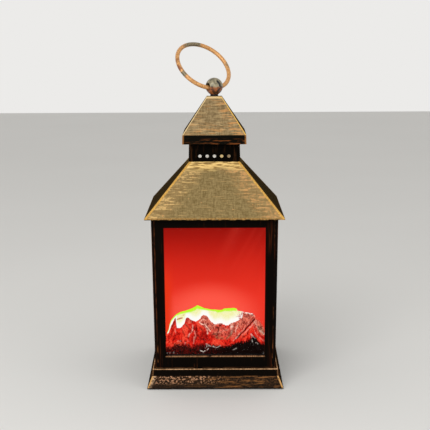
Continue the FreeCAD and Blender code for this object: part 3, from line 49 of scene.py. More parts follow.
# Levels and half widths that the finishes follow
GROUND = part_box("base_plinth")[0].z
BASE_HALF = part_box("base_plinth")[1].x
LEDGE, EAVE = (corner.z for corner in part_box("body_shell"))
ROOF_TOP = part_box("roof_shell")[1].z
CAP_BOTTOM, CAP_TOP = (corner.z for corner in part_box("cap_shell"))
WINDOW_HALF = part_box("back_cover")[1].x
SILL, WINDOW_TOP = (corner.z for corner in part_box("back_cover"))
BALL = sum(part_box("finial_ball"), Vector()) / 2
RING_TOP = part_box("ring_handle")[1].z

# Sizes inside those boxes, as part.py has them
FLARE_HEIGHT, BAND_INSET, SKIRT_HEIGHT, BODY_BEVEL = 9.9 * MM, 4.7 * MM, 7.8 * MM, 2.6 * MM
FLARE_TOP = GROUND + FLARE_HEIGHT
BAND_HALF = BASE_HALF - BAND_INSET
CAP_SHOULDER = CAP_BOTTOM + SKIRT_HEIGHT

# How deep the relief of each surface is, and its roughness: a share of the grain and a base
BRUSH_DEPTH, MOULD_DEPTH, SPARK_DEPTH, LACQUER_DEPTH = 0.14 * MM, 0.08 * MM, 0.06 * MM, 0.05 * MM
BRONZE_ROUGH, BLACK_ROUGH = (0.3, 0.42), (0.25, 0.45)

# How far the noise on the left and right walls lies from that on the front and back
PAIR_SHIFT = 9

SOCKETS = {
    "colour": "Base Color", "metal": "Metallic", "rough": "Roughness", "gloss": "Specular IOR Level",
    "coat": "Coat Weight", "coat_rough": "Coat Roughness", "glow": "Emission Color",
    "glow_strength": "Emission Strength", "see": "Alpha",
}


def paint(red, green, blue):
    """A colour in bytes, as the linear colour that a shader takes."""
    def linear(byte):
        share = byte / 255
        return share / 12.92 if share <= 0.04045 else ((share + 0.055) / 1.055) ** 2.4
    return (linear(red), linear(green), linear(blue), 1.0)


def lighter(colour, factor):
    return tuple(min(1.0, factor * channel) for channel in colour[:3]) + (1.0,)


BLACK = paint(9, 6, 4)
WARM_BLACK = paint(21, 13, 8)
CREAM = paint(216, 178, 116)
PEACH = paint(204, 152, 96)


class Finish:
    """A material, with short calls that draw its node tree."""

    def __init__(self, name, **constants):
        self.material = bpy.data.materials.new(name)
        self.material.use_nodes = True
        self.tree = self.material.node_tree
        self.shader = self.tree.nodes["Principled BSDF"]
        self.place = self.node("ShaderNodeTexCoord").outputs["Object"]
        self.x, self.y, self.z = self.node("ShaderNodeSeparateXYZ", self.place).outputs
        for word, value in constants.items():
            self.shader.inputs[SOCKETS[word]].default_value = value

    def node(self, kind, *values, **named):
        """A node with its sockets fed in order or by name, where _ stands for a space."""
        made = self.tree.nodes.new(kind)
        for socket, value in zip(made.inputs, values):
            self.feed(socket, value)
        for word, value in named.items():
            self.feed(made.inputs[word.replace("_", " ")], value)
        return made

    def feed(self, socket, value):
        if isinstance(value, bpy.types.NodeSocket):
            self.tree.links.new(value, socket)
        else:
            socket.default_value = value

    def set(self, **values):
        for word, value in values.items():
            self.feed(self.shader.inputs[SOCKETS[word]], value)

    def math(self, operation, *values):
        node = self.node("ShaderNodeMath", *values)
        node.operation = operation
        return node.outputs[0]

    def fold(self, operation, values):
        result = values[0]
        for value in values[1:]:
            result = self.math(operation, result, value)
        return result

    def times(self, *values):
        return self.fold("MULTIPLY", values)

    def either(self, *values):
        return self.fold("MAXIMUM", values)

    def part(self, value, share, base=0.0):
        """A share of a value, on top of a base."""
        return self.math("MULTIPLY_ADD", value, share, base)

    def rise(self, value, low, high):
        """0 below low and 1 above high with a soft step between, or the reverse."""
        node = self.node("ShaderNodeMapRange", value, low, high, 0.0, 1.0)
        node.interpolation_type = "SMOOTHSTEP"
        return node.outputs[0]

    def away(self, value, level):
        """Distance of a value from a level."""
        return self.math("ABSOLUTE", self.math("SUBTRACT", value, level))

    def around(self, value, level, outer, inner):
        """1 nearer to a level than the inner distance, 0 beyond the outer one."""
        return self.rise(self.away(value, level), outer, inner)

    def length(self, wide, high):
        return self.math("SQRT", self.math("ADD", self.times(wide, wide), self.times(high, high)))

    def spot(self, x, z, width):
        """1 round a place as seen from the front, fading to 0 at its half width."""
        gap = self.math("ADD", self.away(self.x, x), self.away(self.z, z))
        return self.rise(gap, width, 0.55 * width)

    def painted_shade_below(self):
        """1 on what faces down, such as the inside of a roof, where painted shade is laid."""
        normal = self.node("ShaderNodeTexCoord").outputs["Normal"]
        return self.rise(self.node("ShaderNodeSeparateXYZ", normal).outputs["Z"], -0.02, -0.10)

    def field(self, name):
        """A value that each point of the mesh carries."""
        node = self.node("ShaderNodeAttribute")
        node.attribute_name = name
        return node.outputs["Fac"]

    def unfolded(self):
        """The place on the four walls rolled out flat: along the wall, which pair of walls, and up."""
        self.wide, self.deep = self.math("ABSOLUTE", self.x), self.math("ABSOLUTE", self.y)
        self.side = self.math("GREATER_THAN", self.wide, self.deep)
        self.hip = self.away(self.wide, self.deep)
        swap = self.node("ShaderNodeMix", self.side)
        self.feed(swap.inputs[2], self.x)
        self.feed(swap.inputs[3], self.y)
        self.along = swap.outputs[0]
        self.place = self.node("ShaderNodeCombineXYZ", self.along, self.side, self.z).outputs[0]
        return self

    def scaled(self, stretch, shift=0.0):
        node = self.node("ShaderNodeVectorMath", self.place, stretch, (shift, shift, shift))
        node.operation = "MULTIPLY_ADD"
        return node.outputs[0]

    def grain(self, stretch, detail=3.0, rough=0.55, shift=0.0, bend=0.0):
        """Noise whose grains per metre are given along each axis."""
        node = self.node("ShaderNodeTexNoise", Vector=self.scaled(stretch, shift), Scale=1.0,
                         Detail=detail, Roughness=rough, Distortion=bend)
        return node.outputs["Fac"]

    def brush(self, along, up, **more):
        """Noise on unfolded walls, by its grains per metre along a wall and up it."""
        return self.grain((along, PAIR_SHIFT, up), **more)

    def even(self, per_metre, **more):
        return self.grain((per_metre,) * 3, **more)

    def mix(self, amount, first, second):
        """Two colours mixed. A Mix node numbers them 6 and 7, and plain values 2 and 3."""
        node = self.tree.nodes.new("ShaderNodeMix")
        node.data_type = "RGBA"
        self.feed(node.inputs[0], amount)
        self.feed(node.inputs[6], first)
        self.feed(node.inputs[7], second)
        return node.outputs[2]

    def vary(self, value, low, high, first, second):
        """From one colour to another as a value goes from low to high."""
        return self.mix(self.rise(value, low, high), first, second)

    def over(self, under, colour, *amounts):
        """A colour laid over another as thickly as the amounts multiplied."""
        return self.mix(self.times(*amounts), under, colour)

    def ramp(self, value, low, high, stops):
        """Colours at chosen shares of the way as a value goes from low to high."""
        span = self.node("ShaderNodeMapRange", value, low, high, 0.0, 1.0)
        node = self.node("ShaderNodeValToRGB", span.outputs[0])
        ends = node.color_ramp.elements
        for share, colour in stops[1:-1]:
            ends.new(share).color = colour
        ends[0].color, ends[len(stops) - 1].color = stops[0][1], stops[-1][1]
        return node.outputs[0]

    def bump(self, height, depth):
        """Adds relief of that depth, and gives the material."""
        node = self.node("ShaderNodeBump", Height=height, Distance=depth)
        self.feed(self.shader.inputs["Normal"], node.outputs[0])
        return self.material

    def surface(self, colour, fine, rough, depth, strokes=None):
        """Sets the colour, and roughness and relief from the fine grain and strokes."""
        self.set(colour=colour, rough=self.part(fine, *rough))
        return self.bump(fine if strokes is None else self.math("ADD", fine, strokes), depth)


def slope_base(f, dark, light, shift):
    """The brushed ground of a slope: short strokes along and down, woven over each other."""
    down = f.brush(820, 210, rough=0.6, shift=shift)
    across = f.brush(170, 900, rough=0.6, shift=shift + 3)
    fine = f.brush(620, 900, detail=5, rough=0.75, shift=shift)
    weave = f.math("ADD", f.part(down, 0.5), f.part(across, 0.5))
    woven = f.math("ADD", weave, f.part(fine, 0.5, -0.25))
    return f.vary(woven, 0.34, 0.66, dark, light), fine


def shaded_side(f, colour, fine):
    """Painted shade: the left and right slopes are darkened to a dim brushed bronze, as if lit far less
    than the front and back.
    """
    shade = f.vary(fine, 0.46, 0.70, paint(9, 6, 3), paint(66, 47, 26))
    return f.over(colour, shade, f.side, 0.9)


def roof_finish():
    """Bronze brushed over the slopes: gold streaks near the hips and a gold band on top."""
    f = Finish("roof_bronze").unfolded()
    tan, fine = slope_base(f, paint(112, 93, 56), paint(152, 131, 88), 0.0)
    streaks = f.brush(85, 1050, detail=2, rough=0.5, shift=7.7, bend=0.15)
    broad = f.brush(55, 80, shift=3.1, bend=0.4)
    nicks = f.rise(f.brush(330, 620, detail=2, shift=4.9), 0.40, 0.54)
    near_hip = f.rise(f.math("ADD", f.hip, f.part(broad, 24 * MM, -12 * MM)), 24 * MM, 9 * MM)
    right = f.rise(f.along, -10 * MM, 20 * MM)
    tan = f.over(tan, paint(112, 88, 52), near_hip, f.rise(streaks, 0.47, 0.40), 0.5)
    tan = f.over(tan, paint(186, 150, 98), near_hip, 0.22)
    tan = f.over(tan, f.mix(right, CREAM, PEACH), near_hip, f.rise(streaks, 0.51, 0.57), nicks, 0.85)
    tan = f.over(tan, paint(192, 158, 104), f.rise(streaks, 0.62, 0.70), 0.45)
    specks = f.brush(300, 420, detail=2, shift=11.0)
    tan = f.over(tan, PEACH, f.rise(specks, 0.68, 0.74), 0.8)
    dashes = f.brush(120, 900, detail=2, shift=1.3)
    height = f.math("ADD", f.z, f.part(broad, 5 * MM, -2.5 * MM))
    top = f.rise(height, ROOF_TOP - 8.5 * MM, ROOF_TOP - 3.5 * MM)
    band = f.vary(dashes, 0.40, 0.58, paint(150, 116, 64), paint(242, 204, 130))
    tan = f.over(tan, band, top, f.rise(dashes, 0.26, 0.44))
    # Painted shade on the left and right slopes
    tan = shaded_side(f, tan, fine)
    wear = f.brush(260, 600, shift=9.2)
    # 1 on the front and back, 0.3 on the left and right: painted shade that dims the eave and hip lines on
    # the sides
    unshaded_share = f.part(f.side, -0.7, 1.0)
    eave_line = f.vary(fine, 0.4, 0.6, paint(132, 98, 54), paint(182, 140, 78))
    on_eave = f.rise(f.z, EAVE + 1.9 * MM, EAVE + 1.1 * MM)
    tan = f.over(tan, eave_line, on_eave, f.rise(wear, 0.32, 0.46), unshaded_share)
    hip_line = f.vary(fine, 0.4, 0.6, paint(188, 142, 70), paint(222, 174, 90))
    on_hip = f.math("LESS_THAN", f.hip, f.part(wear, 1.8 * MM, 1.1 * MM))
    colour = f.over(tan, hip_line, on_hip, unshaded_share)
    on_lip = f.rise(f.z, EAVE + 0.55 * MM, EAVE + 0.3 * MM)
    colour = f.over(colour, WARM_BLACK, on_lip, f.rise(wear, 0.62, 0.44))
    # Painted shade: what faces down is laid over with black
    colour = f.over(colour, BLACK, f.painted_shade_below())
    f.set(gloss=f.part(f.side, -0.03, 0.03))
    return f.surface(colour, fine, BRONZE_ROUGH, BRUSH_DEPTH, f.times(streaks, 0.8))


def cap_finish():
    """The cap's slopes with wavy cream streaks, over a skirt dark above and orange below."""
    f = Finish("cap_bronze").unfolded()
    tan, fine = slope_base(f, paint(112, 93, 62), paint(156, 133, 96), 4.2)
    waves = f.brush(80, 1050, detail=2, rough=0.5, shift=2.2, bend=0.35)
    broad = f.brush(75, 95, detail=2, shift=5.4, bend=0.4)
    dashes = f.brush(110, 1100, detail=2, shift=3.6, bend=0.2)
    right = f.rise(f.along, -4 * MM, 14 * MM)
    low = f.rise(f.z, CAP_SHOULDER + 14 * MM, CAP_SHOULDER)
    near_hip = f.rise(f.math("ADD", f.hip, f.part(broad, 14 * MM, -7 * MM)), 12 * MM, 5 * MM)
    beside_hips = f.times(near_hip, f.part(right, 0.6, 0.4))
    low_down = f.times(low, f.rise(broad, 0.44, 0.56), 0.8)
    patches = f.times(f.either(beside_hips, low_down), f.rise(dashes, 0.50, 0.57))
    tan = f.over(tan, paint(196, 168, 120), f.rise(waves, 0.56, 0.66), 0.75)
    tan = f.over(tan, paint(108, 88, 56), f.rise(waves, 0.44, 0.36), 0.45)
    tan = f.over(tan, paint(208, 150, 90), patches, 0.7)
    # Painted shade on the left and right slopes
    tan = shaded_side(f, tan, fine)
    wear = f.brush(400, 500, shift=8.8)
    hip_line = f.math("LESS_THAN", f.hip, f.part(wear, 1.2 * MM, 0.25 * MM))
    top_rim = f.rise(f.z, CAP_TOP - 1.8 * MM, CAP_TOP - 1.2 * MM)
    gold = f.mix(right, paint(216, 190, 142), paint(222, 178, 92))
    # The gold lines are dimmed on the left and right slopes: painted shade
    tan = f.over(tan, gold, f.either(hip_line, top_rim), f.part(f.side, -0.7, 1.0))
    smears = f.brush(90, 900, shift=6.1)
    lower = f.rise(f.z, CAP_BOTTOM + 5.4 * MM, CAP_BOTTOM + 3.6 * MM)
    heavy = f.part(f.rise(f.along, -18 * MM, 12 * MM), 0.6, 0.4)
    skirt = f.over(paint(10, 8, 4), paint(112, 62, 28), f.rise(smears, 0.51, 0.61), lower, heavy)
    corner = f.times(f.rise(f.hip, 1.7 * MM, 0.9 * MM), f.rise(wear, 0.3, 0.5))
    skirt = f.over(skirt, paint(150, 100, 54), corner, 0.85)
    on_slope = f.rise(f.z, CAP_SHOULDER - 0.35 * MM, CAP_SHOULDER + 0.1 * MM)
    # Painted shade: what faces down on the cap is laid over with black
    colour = f.over(f.mix(on_slope, skirt, tan), BLACK, f.painted_shade_below())
    f.set(gloss=f.part(f.side, -0.03, 0.03))
    return f.surface(colour, fine, BRONZE_ROUGH, BRUSH_DEPTH, f.times(waves, 0.8))


def plinth_finish():
    """Flare brushed brown with peach dabs, a black band, and a bright ledge above it."""
    f = Finish("plinth_bronze").unfolded()
    fine = f.brush(640, 1000, detail=4, rough=0.7)
    dabs = f.brush(600, 860, detail=2, rough=0.6, shift=2.7)
    streaks = f.brush(75, 900, rough=0.6, shift=5.9)
    left = f.rise(f.along, 16 * MM, -16 * MM)
    upper = f.rise(f.z, GROUND + 2.5 * MM, GROUND + 5.5 * MM)
    flare = f.vary(fine, 0.36, 0.66, paint(17, 13, 10), paint(56, 39, 26))
    peach = f.mix(left, paint(178, 122, 74), paint(184, 136, 102))
    flare = f.over(flare, peach, f.rise(dabs, 0.54, 0.60), upper, f.part(left, 0.72, 0.14))
    copper = f.times(f.rise(streaks, 0.52, 0.61), f.part(left, -0.65, 0.85))
    flare = f.over(flare, paint(140, 92, 50), copper, 0.9)
    corner = f.times(f.rise(f.hip, 4.2 * MM, 2.2 * MM), f.rise(dabs, 0.38, 0.5), left)
    flare = f.over(flare, paint(206, 168, 132), corner, f.part(upper, 0.7, 0.3))
    on_edge = f.rise(f.hip, 1.5 * MM, 1.0 * MM)
    flare = f.over(flare, paint(204, 156, 96), on_edge, f.rise(dabs, 0.28, 0.38))
    # Painted shade: the flare's left and right faces are darkened
    flare = f.over(flare, BLACK, f.side, 0.75)
    # Painted shadow along the foot of the flare, where it meets the ground
    on_foot = f.rise(f.z, GROUND + 1.1 * MM, GROUND + 0.5 * MM)
    flare = f.over(flare, WARM_BLACK, on_foot, 0.85)
    band = f.over(paint(11, 7, 4), paint(66, 42, 26), f.rise(fine, 0.55, 0.75), 0.35)
    band_corner = f.times(f.rise(f.hip, 1.2 * MM, 0.6 * MM), f.rise(dabs, 0.38, 0.52))
    band = f.over(band, paint(120, 84, 54), band_corner, 0.8)
    gold = f.vary(dabs, 0.4, 0.6, paint(156, 116, 80), paint(218, 170, 126))
    on_ledge = f.rise(f.z, LEDGE - 0.7 * MM, LEDGE - 0.45 * MM)
    on_rim = f.rise(f.either(f.wide, f.deep), BAND_HALF - 0.9 * MM, BAND_HALF - 0.5 * MM)
    band = f.over(band, gold, on_ledge, on_rim, f.rise(streaks, 0.32, 0.42))
    on_band = f.rise(f.z, FLARE_TOP - 0.3 * MM, FLARE_TOP + 0.1 * MM)
    f.set(gloss=f.part(f.side, -0.02, 0.02))
    colour = f.mix(on_band, flare, band)
    return f.surface(colour, fine, BLACK_ROUGH, BRUSH_DEPTH, f.times(streaks, 0.6))


def body_finish():
    """Black walls with worn bronze lines along the corners and sill, and rubbed posts."""
    f = Finish("body_black", gloss=0.015).unfolded()
    fine = f.brush(900, 1100, detail=4, rough=0.6)
    posts = f.brush(900, 26, shift=3.3)
    patches = f.brush(90, 60, detail=2, shift=6.0)
    dashes = f.brush(500, 160, shift=8.1)
    wear = f.brush(120, 800, detail=2, shift=1.1)
    low = f.rise(f.z, LEDGE + 42 * MM, LEDGE + 10 * MM)
    aside = f.math("MINIMUM", f.wide, f.deep)
    walls = f.over(BLACK, WARM_BLACK, f.rise(fine, 0.42, 0.8), 0.4)
    strokes = f.times(f.rise(posts, 0.58, 0.70), f.rise(patches, 0.42, 0.66))
    walls = f.over(walls, paint(80, 42, 20), strokes, f.part(low, 0.4, 0.18))
    on_bevel = f.around(f.hip, BODY_BEVEL, 0.6 * MM, 0.25 * MM)
    walls = f.over(walls, paint(134, 80, 40), on_bevel, f.rise(dashes, 0.50, 0.60), f.part(low, 0.5, 0.22))
    left_line = f.times(f.around(f.hip, 2.2 * MM, 0.9 * MM, 0.5 * MM), f.rise(f.x, 0.0, -10 * MM))
    above_foot = f.rise(f.z, LEDGE + 8 * MM, LEDGE + 48 * MM)
    below_eave = f.rise(f.z, EAVE + 6 * MM, EAVE - 24 * MM)
    worn = f.times(left_line, above_foot, below_eave, f.rise(dashes, 0.32, 0.50))
    walls = f.over(walls, paint(88, 44, 21), worn, 0.62)
    on_post = f.rise(aside, WINDOW_HALF + 1 * MM, WINDOW_HALF + 4 * MM)
    right_top = f.times(f.rise(f.z, EAVE - 38 * MM, EAVE - 26 * MM), f.rise(f.x, 0.0, 10 * MM))
    rubbed = f.times(f.rise(posts, 0.50, 0.64), on_post, f.either(right_top, f.part(low, 0.8)))
    walls = f.over(walls, paint(96, 42, 18), rubbed, 0.42)
    gold = f.vary(fine, 0.4, 0.6, paint(124, 88, 58), paint(186, 140, 100))
    on_sill = f.around(f.z, SILL - 0.2 * MM, 0.52 * MM, 0.30 * MM)
    in_window = f.rise(aside, WINDOW_HALF + 0.2 * MM, WINDOW_HALF - 0.6 * MM)
    walls = f.over(walls, gold, on_sill, in_window, f.rise(wear, 0.24, 0.38))
    on_foot = f.rise(f.z, LEDGE + 1.2 * MM, LEDGE + 0.5 * MM)
    walls = f.over(walls, paint(92, 60, 36), on_foot, f.rise(wear, 0.42, 0.56), 0.6)
    return f.surface(walls, fine, BLACK_ROUGH, MOULD_DEPTH, f.times(posts, 0.4))


def neck_finish():
    """Black collar with faint brown strokes that gather at its corners."""
    f = Finish("neck_black", gloss=0.015).unfolded()
    fine = f.brush(900, 1300, detail=4, rough=0.6)
    verticals = f.brush(620, 60, shift=5.5)
    near_corner = f.rise(f.hip, 12 * MM, 3 * MM)
    upper = f.rise(f.z, ROOF_TOP + 6 * MM, ROOF_TOP + 10 * MM)
    faint = f.either(f.part(near_corner, 0.3), f.part(upper, 0.15))
    walls = f.over(paint(6, 4, 2), paint(84, 50, 26), f.rise(verticals, 0.54, 0.66), faint)
    corner = f.times(f.rise(f.hip, 1.2 * MM, 0.6 * MM), f.rise(verticals, 0.46, 0.6))
    walls = f.over(walls, paint(104, 64, 34), corner, 0.35)
    return f.surface(walls, fine, BLACK_ROUGH, MOULD_DEPTH)


def cover_finish():
    """The back cover: black with a fine spark texture and a worn rim."""
    f = Finish("cover_black", gloss=0.04)
    fine = f.even(1100, detail=4, rough=0.65)
    broad = f.grain((70, 70, 300), shift=5.0)
    wear = f.even(240, shift=2.0)
    at_sides = f.rise(f.math("ABSOLUTE", f.x), WINDOW_HALF - 1.5 * MM, WINDOW_HALF - 0.9 * MM)
    at_ends = [f.around(f.z, level, 1.1 * MM, 0.6 * MM) for level in (SILL, WINDOW_TOP)]
    colour = f.over(BLACK, WARM_BLACK, f.rise(fine, 0.4, 0.8), 0.5)
    colour = f.over(colour, paint(84, 54, 30), f.rise(broad, 0.58, 0.72), 0.35)
    rim = f.times(f.either(at_sides, *at_ends), f.rise(wear, 0.44, 0.58))
    colour = f.over(colour, paint(120, 80, 48), rim, 0.7)
    return f.surface(colour, fine, BLACK_ROUGH, MOULD_DEPTH)


def ring_finish():
    """Bronze lacquer on the ring, rubbed to grey olive or to red in a few places."""
    f = Finish("ring_bronze", metal=0.35, gloss=0.4, coat=0.15, coat_rough=0.2)
    patches = f.even(38, detail=2, shift=1.1)
    fine = f.even(700, rough=0.6)
    colour = f.vary(fine, 0.38, 0.62, paint(186, 130, 74), paint(222, 167, 104))
    near_top = f.rise(f.z, RING_TOP - 4.5 * MM, RING_TOP - 3 * MM)
    top = f.times(near_top, f.around(f.x, -18 * MM, 7 * MM, 5.5 * MM))
    lower_left = f.spot(-26 * MM, BALL.z + 10.4 * MM, 4.2 * MM)
    right = f.part(f.spot(13 * MM, BALL.z + 18 * MM, 5 * MM), 0.6)
    rubbed = f.either(top, f.rise(patches, 0.34, 0.29), lower_left, right)
    olive = f.vary(fine, 0.4, 0.6, paint(84, 80, 62), paint(122, 116, 92))
    colour = f.over(colour, olive, rubbed, 0.9)
    left = f.spot(-30.5 * MM, BALL.z + 15 * MM, 4.5 * MM)
    colour = f.over(colour, paint(122, 58, 28), f.either(f.rise(patches, 0.66, 0.72), left), 0.8)
    return f.surface(colour, fine, (0.3, 0.25), LACQUER_DEPTH)


def ball_finish():
    """The ball: rubbed grey olive on top; brown below, a painted reflection of the cap with painted shade;
    a dark arc beside the ring's hole, a painted reflection.
    """
    f = Finish("ball_bronze", metal=0.3, gloss=0.5, coat=0.25, coat_rough=0.15)
    patches = f.even(260, shift=1.7, bend=0.3)
    fine = f.even(900, detail=4, rough=0.6)
    olive = f.vary(patches, 0.35, 0.65, paint(100, 94, 72), paint(160, 148, 118))
    # Painted reflection of the cap and painted shade on the lower half
    brown = f.vary(patches, 0.38, 0.60, paint(44, 22, 10), paint(160, 92, 44))
    height = f.math("ADD", f.z, f.part(patches, 3 * MM, -1.5 * MM))
    colour = f.vary(height, BALL.z + 0.4 * MM, BALL.z - 1.2 * MM, olive, brown)
    aside = f.math("SUBTRACT", f.x, BALL.x)
    high = f.math("SUBTRACT", f.z, BALL.z)
    # Painted reflection: a dark arc on the front upper right
    reflected_dark_arc = f.around(f.length(aside, high), 4.8 * MM, 1.0 * MM, 0.6 * MM)
    upper_right = f.times(f.rise(aside, 1.6 * MM, 2.4 * MM), f.rise(high, -1.0 * MM, 0.0))
    in_front = f.rise(f.y, BALL.y, BALL.y - 1 * MM)
    colour = f.over(colour, paint(10, 8, 6), reflected_dark_arc, upper_right, in_front)
    return f.surface(colour, fine, (0.3, 0.2), LACQUER_DEPTH)


def plastic_finish(name, shade, rough=0.55, gloss=0.3):
    """Moulded plastic with a fine spark texture."""
    f = Finish(name, gloss=gloss)
    fine = f.even(1500, rough=0.6)
    soft = f.even(60, detail=2, shift=4.0)
    colour = f.vary(soft, 0.35, 0.65, shade, lighter(shade, 1.4))
    return f.surface(colour, fine, (0.2, rough - 0.1), SPARK_DEPTH)


def metal_finish(name, shade, rough, stretch=(300, 300, 300)):
    """Bare metal with faint lines in it."""
    f = Finish(name, metal=1.0)
    lines = f.grain(stretch, detail=4, rough=0.6)
    colour = f.vary(lines, 0.35, 0.6, lighter(shade, 0.7), shade)
    return f.surface(colour, lines, (0.25, rough - 0.12), 0.03 * MM)


def board_finish():
    """Green solder mask with tracks under it."""
    f = Finish("board_green", rough=0.35, gloss=0.5)
    tracks = f.node("ShaderNodeTexBrick", Vector=f.scaled((260, 260, 260)), Color1=paint(20, 84, 46),
                    Color2=paint(24, 92, 52), Mortar=paint(48, 128, 72), Scale=1.0, Mortar_Size=0.06)
    f.set(colour=tracks.outputs["Color"])
    return f.bump(f.even(700), 0.02 * MM)


def lamp_finish():
    """An amber lamp with a brighter core."""
    f = Finish("amber_lamp", rough=0.2, colour=paint(220, 120, 30), glow_strength=1.0)
    core = f.even(220, detail=2)
    f.set(glow=f.vary(core, 0.3, 0.7, paint(255, 150, 40), paint(255, 196, 90)))
    return f.material


# Between which heights the painted glow on the flame screen dims, and the painted pool of light on it round
# the
# embers: its middle and its half sizes
FADE_LOW, FADE_HIGH = 62 * MM, 130 * MM
HALO_X, HALO_Z, HALO_WIDE, HALO_HIGH = -5 * MM, 44 * MM, 36 * MM, 25 * MM


def screen_finish():
    """The flame screen glows with painted light from the lamps behind it: deep red at the top, bright red
    low down, a painted pool of pink light round the embers.
    """
    f = Finish("flame_light", rough=0.7, gloss=0.0, glow_strength=1.0, colour=paint(40, 4, 3))
    haze = f.grain((16, 16, 12), detail=2, shift=2.5, bend=0.8)
    height = f.math("ADD", f.z, f.part(haze, 8 * MM, -4 * MM))
    glow = f.ramp(height, FADE_LOW, FADE_HIGH, [
        (0.0, paint(237, 54, 39)), (0.18, paint(229, 48, 33)), (0.32, paint(220, 43, 29)),
        (0.51, paint(206, 36, 24)), (0.72, paint(182, 27, 18)), (1.0, paint(139, 16, 11))])
    halo_x = f.math("DIVIDE", f.math("SUBTRACT", f.x, HALO_X), HALO_WIDE)
    halo_z = f.math("DIVIDE", f.math("SUBTRACT", f.z, HALO_Z), HALO_HIGH)
    # Painted pool of light round the embers
    glow = f.over(glow, paint(254, 88, 71), f.rise(f.length(halo_x, halo_z), 1.50, 0.62))
    left_edge = f.rise(f.x, -36 * MM, -43 * MM)
    glow = f.over(glow, paint(232, 54, 22), left_edge, f.rise(f.z, 100 * MM, 66 * MM), 0.9)
    beams = f.node("ShaderNodeTexNoise", Scale=70.0)
    beams.noise_dimensions = "1D"
    f.feed(beams.inputs["W"], f.math("SUBTRACT", f.x, f.part(f.z, 0.55)))
    upper_right = f.times(f.rise(f.x, -4 * MM, 20 * MM), f.rise(f.z, 70 * MM, 104 * MM))
    glow = f.over(glow, paint(236, 70, 56), upper_right, f.rise(beams.outputs["Fac"], 0.42, 0.72), 0.16)
    f.set(glow=glow)
    return f.bump(f.even(500), 0.05 * MM)


def liner_finish():
    """The white liner behind the vents glows with painted light from the lamp inside, whiter on the left
    and yellower on the right.
    """
    f = Finish("liner_light", rough=0.7, glow_strength=0.8, colour=paint(120, 112, 96))
    spots = f.even(500, detail=2)
    glow = f.vary(f.x, 1 * MM, 6 * MM, paint(226, 222, 214), paint(214, 184, 122))
    glow = f.over(glow, paint(148, 124, 92), f.rise(f.x, 9 * MM, 11 * MM))
    f.set(glow=f.over(glow, paint(140, 122, 90), f.rise(spots, 0.4, 0.7), 0.35))
    return f.material


def pane_finish():
    """Clear acrylic: nearly unseen from the front, with a sheen at low angles."""
    f = Finish("clear_pane", rough=0.05, gloss=0.4, colour=paint(16, 14, 12))
    facing = f.node("ShaderNodeLayerWeight", Blend=0.25).outputs["Facing"]
    smears = f.grain((30, 30, 12), detail=2)
    f.set(see=f.times(f.part(facing, 0.3, 0.004), f.rise(smears, 0.0, 0.5)))
    return f.material


CELL_BAND = 14 * MM


def cell_finish():
    """Plain cell jackets: dark grey with a copper band at the button end."""
    f = Finish("cell_jacket", rough=0.3, metal=0.5, gloss=0.5)
    dark = f.vary(f.even(300), 0.3, 0.7, paint(42, 44, 48), paint(58, 60, 64))
    f.set(colour=f.vary(f.x, CELL_BAND, CELL_BAND + 0.4 * MM, dark, paint(176, 112, 60)))
    return f.material


def foil_finish():
    """Crumpled bright foil on the turning vanes."""
    f = Finish("reflector_foil", metal=1.0, rough=0.18)
    crumple = f.node("ShaderNodeTexVoronoi", Vector=f.scaled((240, 240, 240)), Scale=1.0)
    folds = crumple.outputs["Distance"]
    f.set(colour=f.vary(folds, 0.1, 0.8, paint(216, 214, 208), paint(180, 176, 168)))
    return f.bump(folds, 0.3 * MM)


def rubber_finish():
    """Dull dark rubber."""
    f = Finish("feet_rubber", gloss=0.2)
    fine = f.even(2200, rough=0.7)
    colour = f.vary(fine, 0.3, 0.7, paint(26, 25, 24), paint(44, 42, 40))
    return f.surface(colour, fine, (0.15, 0.78), MOULD_DEPTH)


PLAIN = plastic_finish("moulded_black", paint(18, 17, 16))
STEEL = metal_finish("screw_steel", paint(168, 166, 162), 0.32)
NICKEL = metal_finish("nickel", paint(188, 184, 172), 0.28)
GREEN_BOARD = board_finish()
AMBER = lamp_finish()
FINISHES = {
    "roof_shell": roof_finish(), "cap_shell": cap_finish(), "base_plinth": plinth_finish(),
    "body_shell": body_finish(), "vent_neck": neck_finish(), "back_cover": cover_finish(),
    "flame_screen": screen_finish(), "vent_liner": liner_finish(), "window_pane": pane_finish(),
    "battery_cells": cell_finish(), "rubber_feet": rubber_finish(), "flame_rotor": foil_finish(),
    "motor": metal_finish("motor_can", paint(150, 150, 152), 0.35, (80, 900, 900)),
    "rotor_bush": metal_finish("bush_brass", paint(196, 160, 88), 0.3),
    "board_parts": plastic_finish("chip_black", paint(20, 20, 22), 0.4, 0.5),
    "finial_ball": ball_finish(), "ring_handle": ring_finish(),
    # The stud under the ball is coloured near black: painted shade
    "finial_stud": plastic_finish("stud_shade_black", paint(20, 12, 8)),
    "contact_plates": NICKEL, "battery_springs": NICKEL,
    "lamp_board": GREEN_BOARD, "crown_board": GREEN_BOARD,
    "ember_lamps": AMBER, "flame_lamps": AMBER, "crown_lamp": AMBER,
    "rotor_shaft": STEEL, "stud_washer": STEEL, "stud_nut": STEEL,
}
for name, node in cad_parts.items():
    for slot in node.material_slots:
        slot.material = FINISHES.get(name, STEEL if name.endswith("_screws") else PLAIN)


def add_mesh(name, mesh, body, material):
    piece = bpy.data.objects.new(name, mesh)
    bpy.context.scene.collection.objects.link(piece)
    piece.data.materials.append(material)
    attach(piece, body)
    return piece


# Ember heap. Places on it are shares: across from -1 to 1 of its half width, and up from
# the foot to the top as seen from the front and a little above, so that a point farther
# back looks higher. The lit ridge stands behind a row of split rocks.
SEEN_TILT, SEEN_LIFT = 0.371, 0.033
SEEN_DEPTH_SHARE, ROCK_DEPTH_SHARE, CREST_DEPTH_SHARE = 0.46, 0.58, 0.90
# How steeply it falls from the ridge to the front and back, and behind the rocks
RIDGE_FRONT_FALL, RIDGE_BACK_FALL, ROCK_BACK_FALL = 0.7, 1.6, 3.4
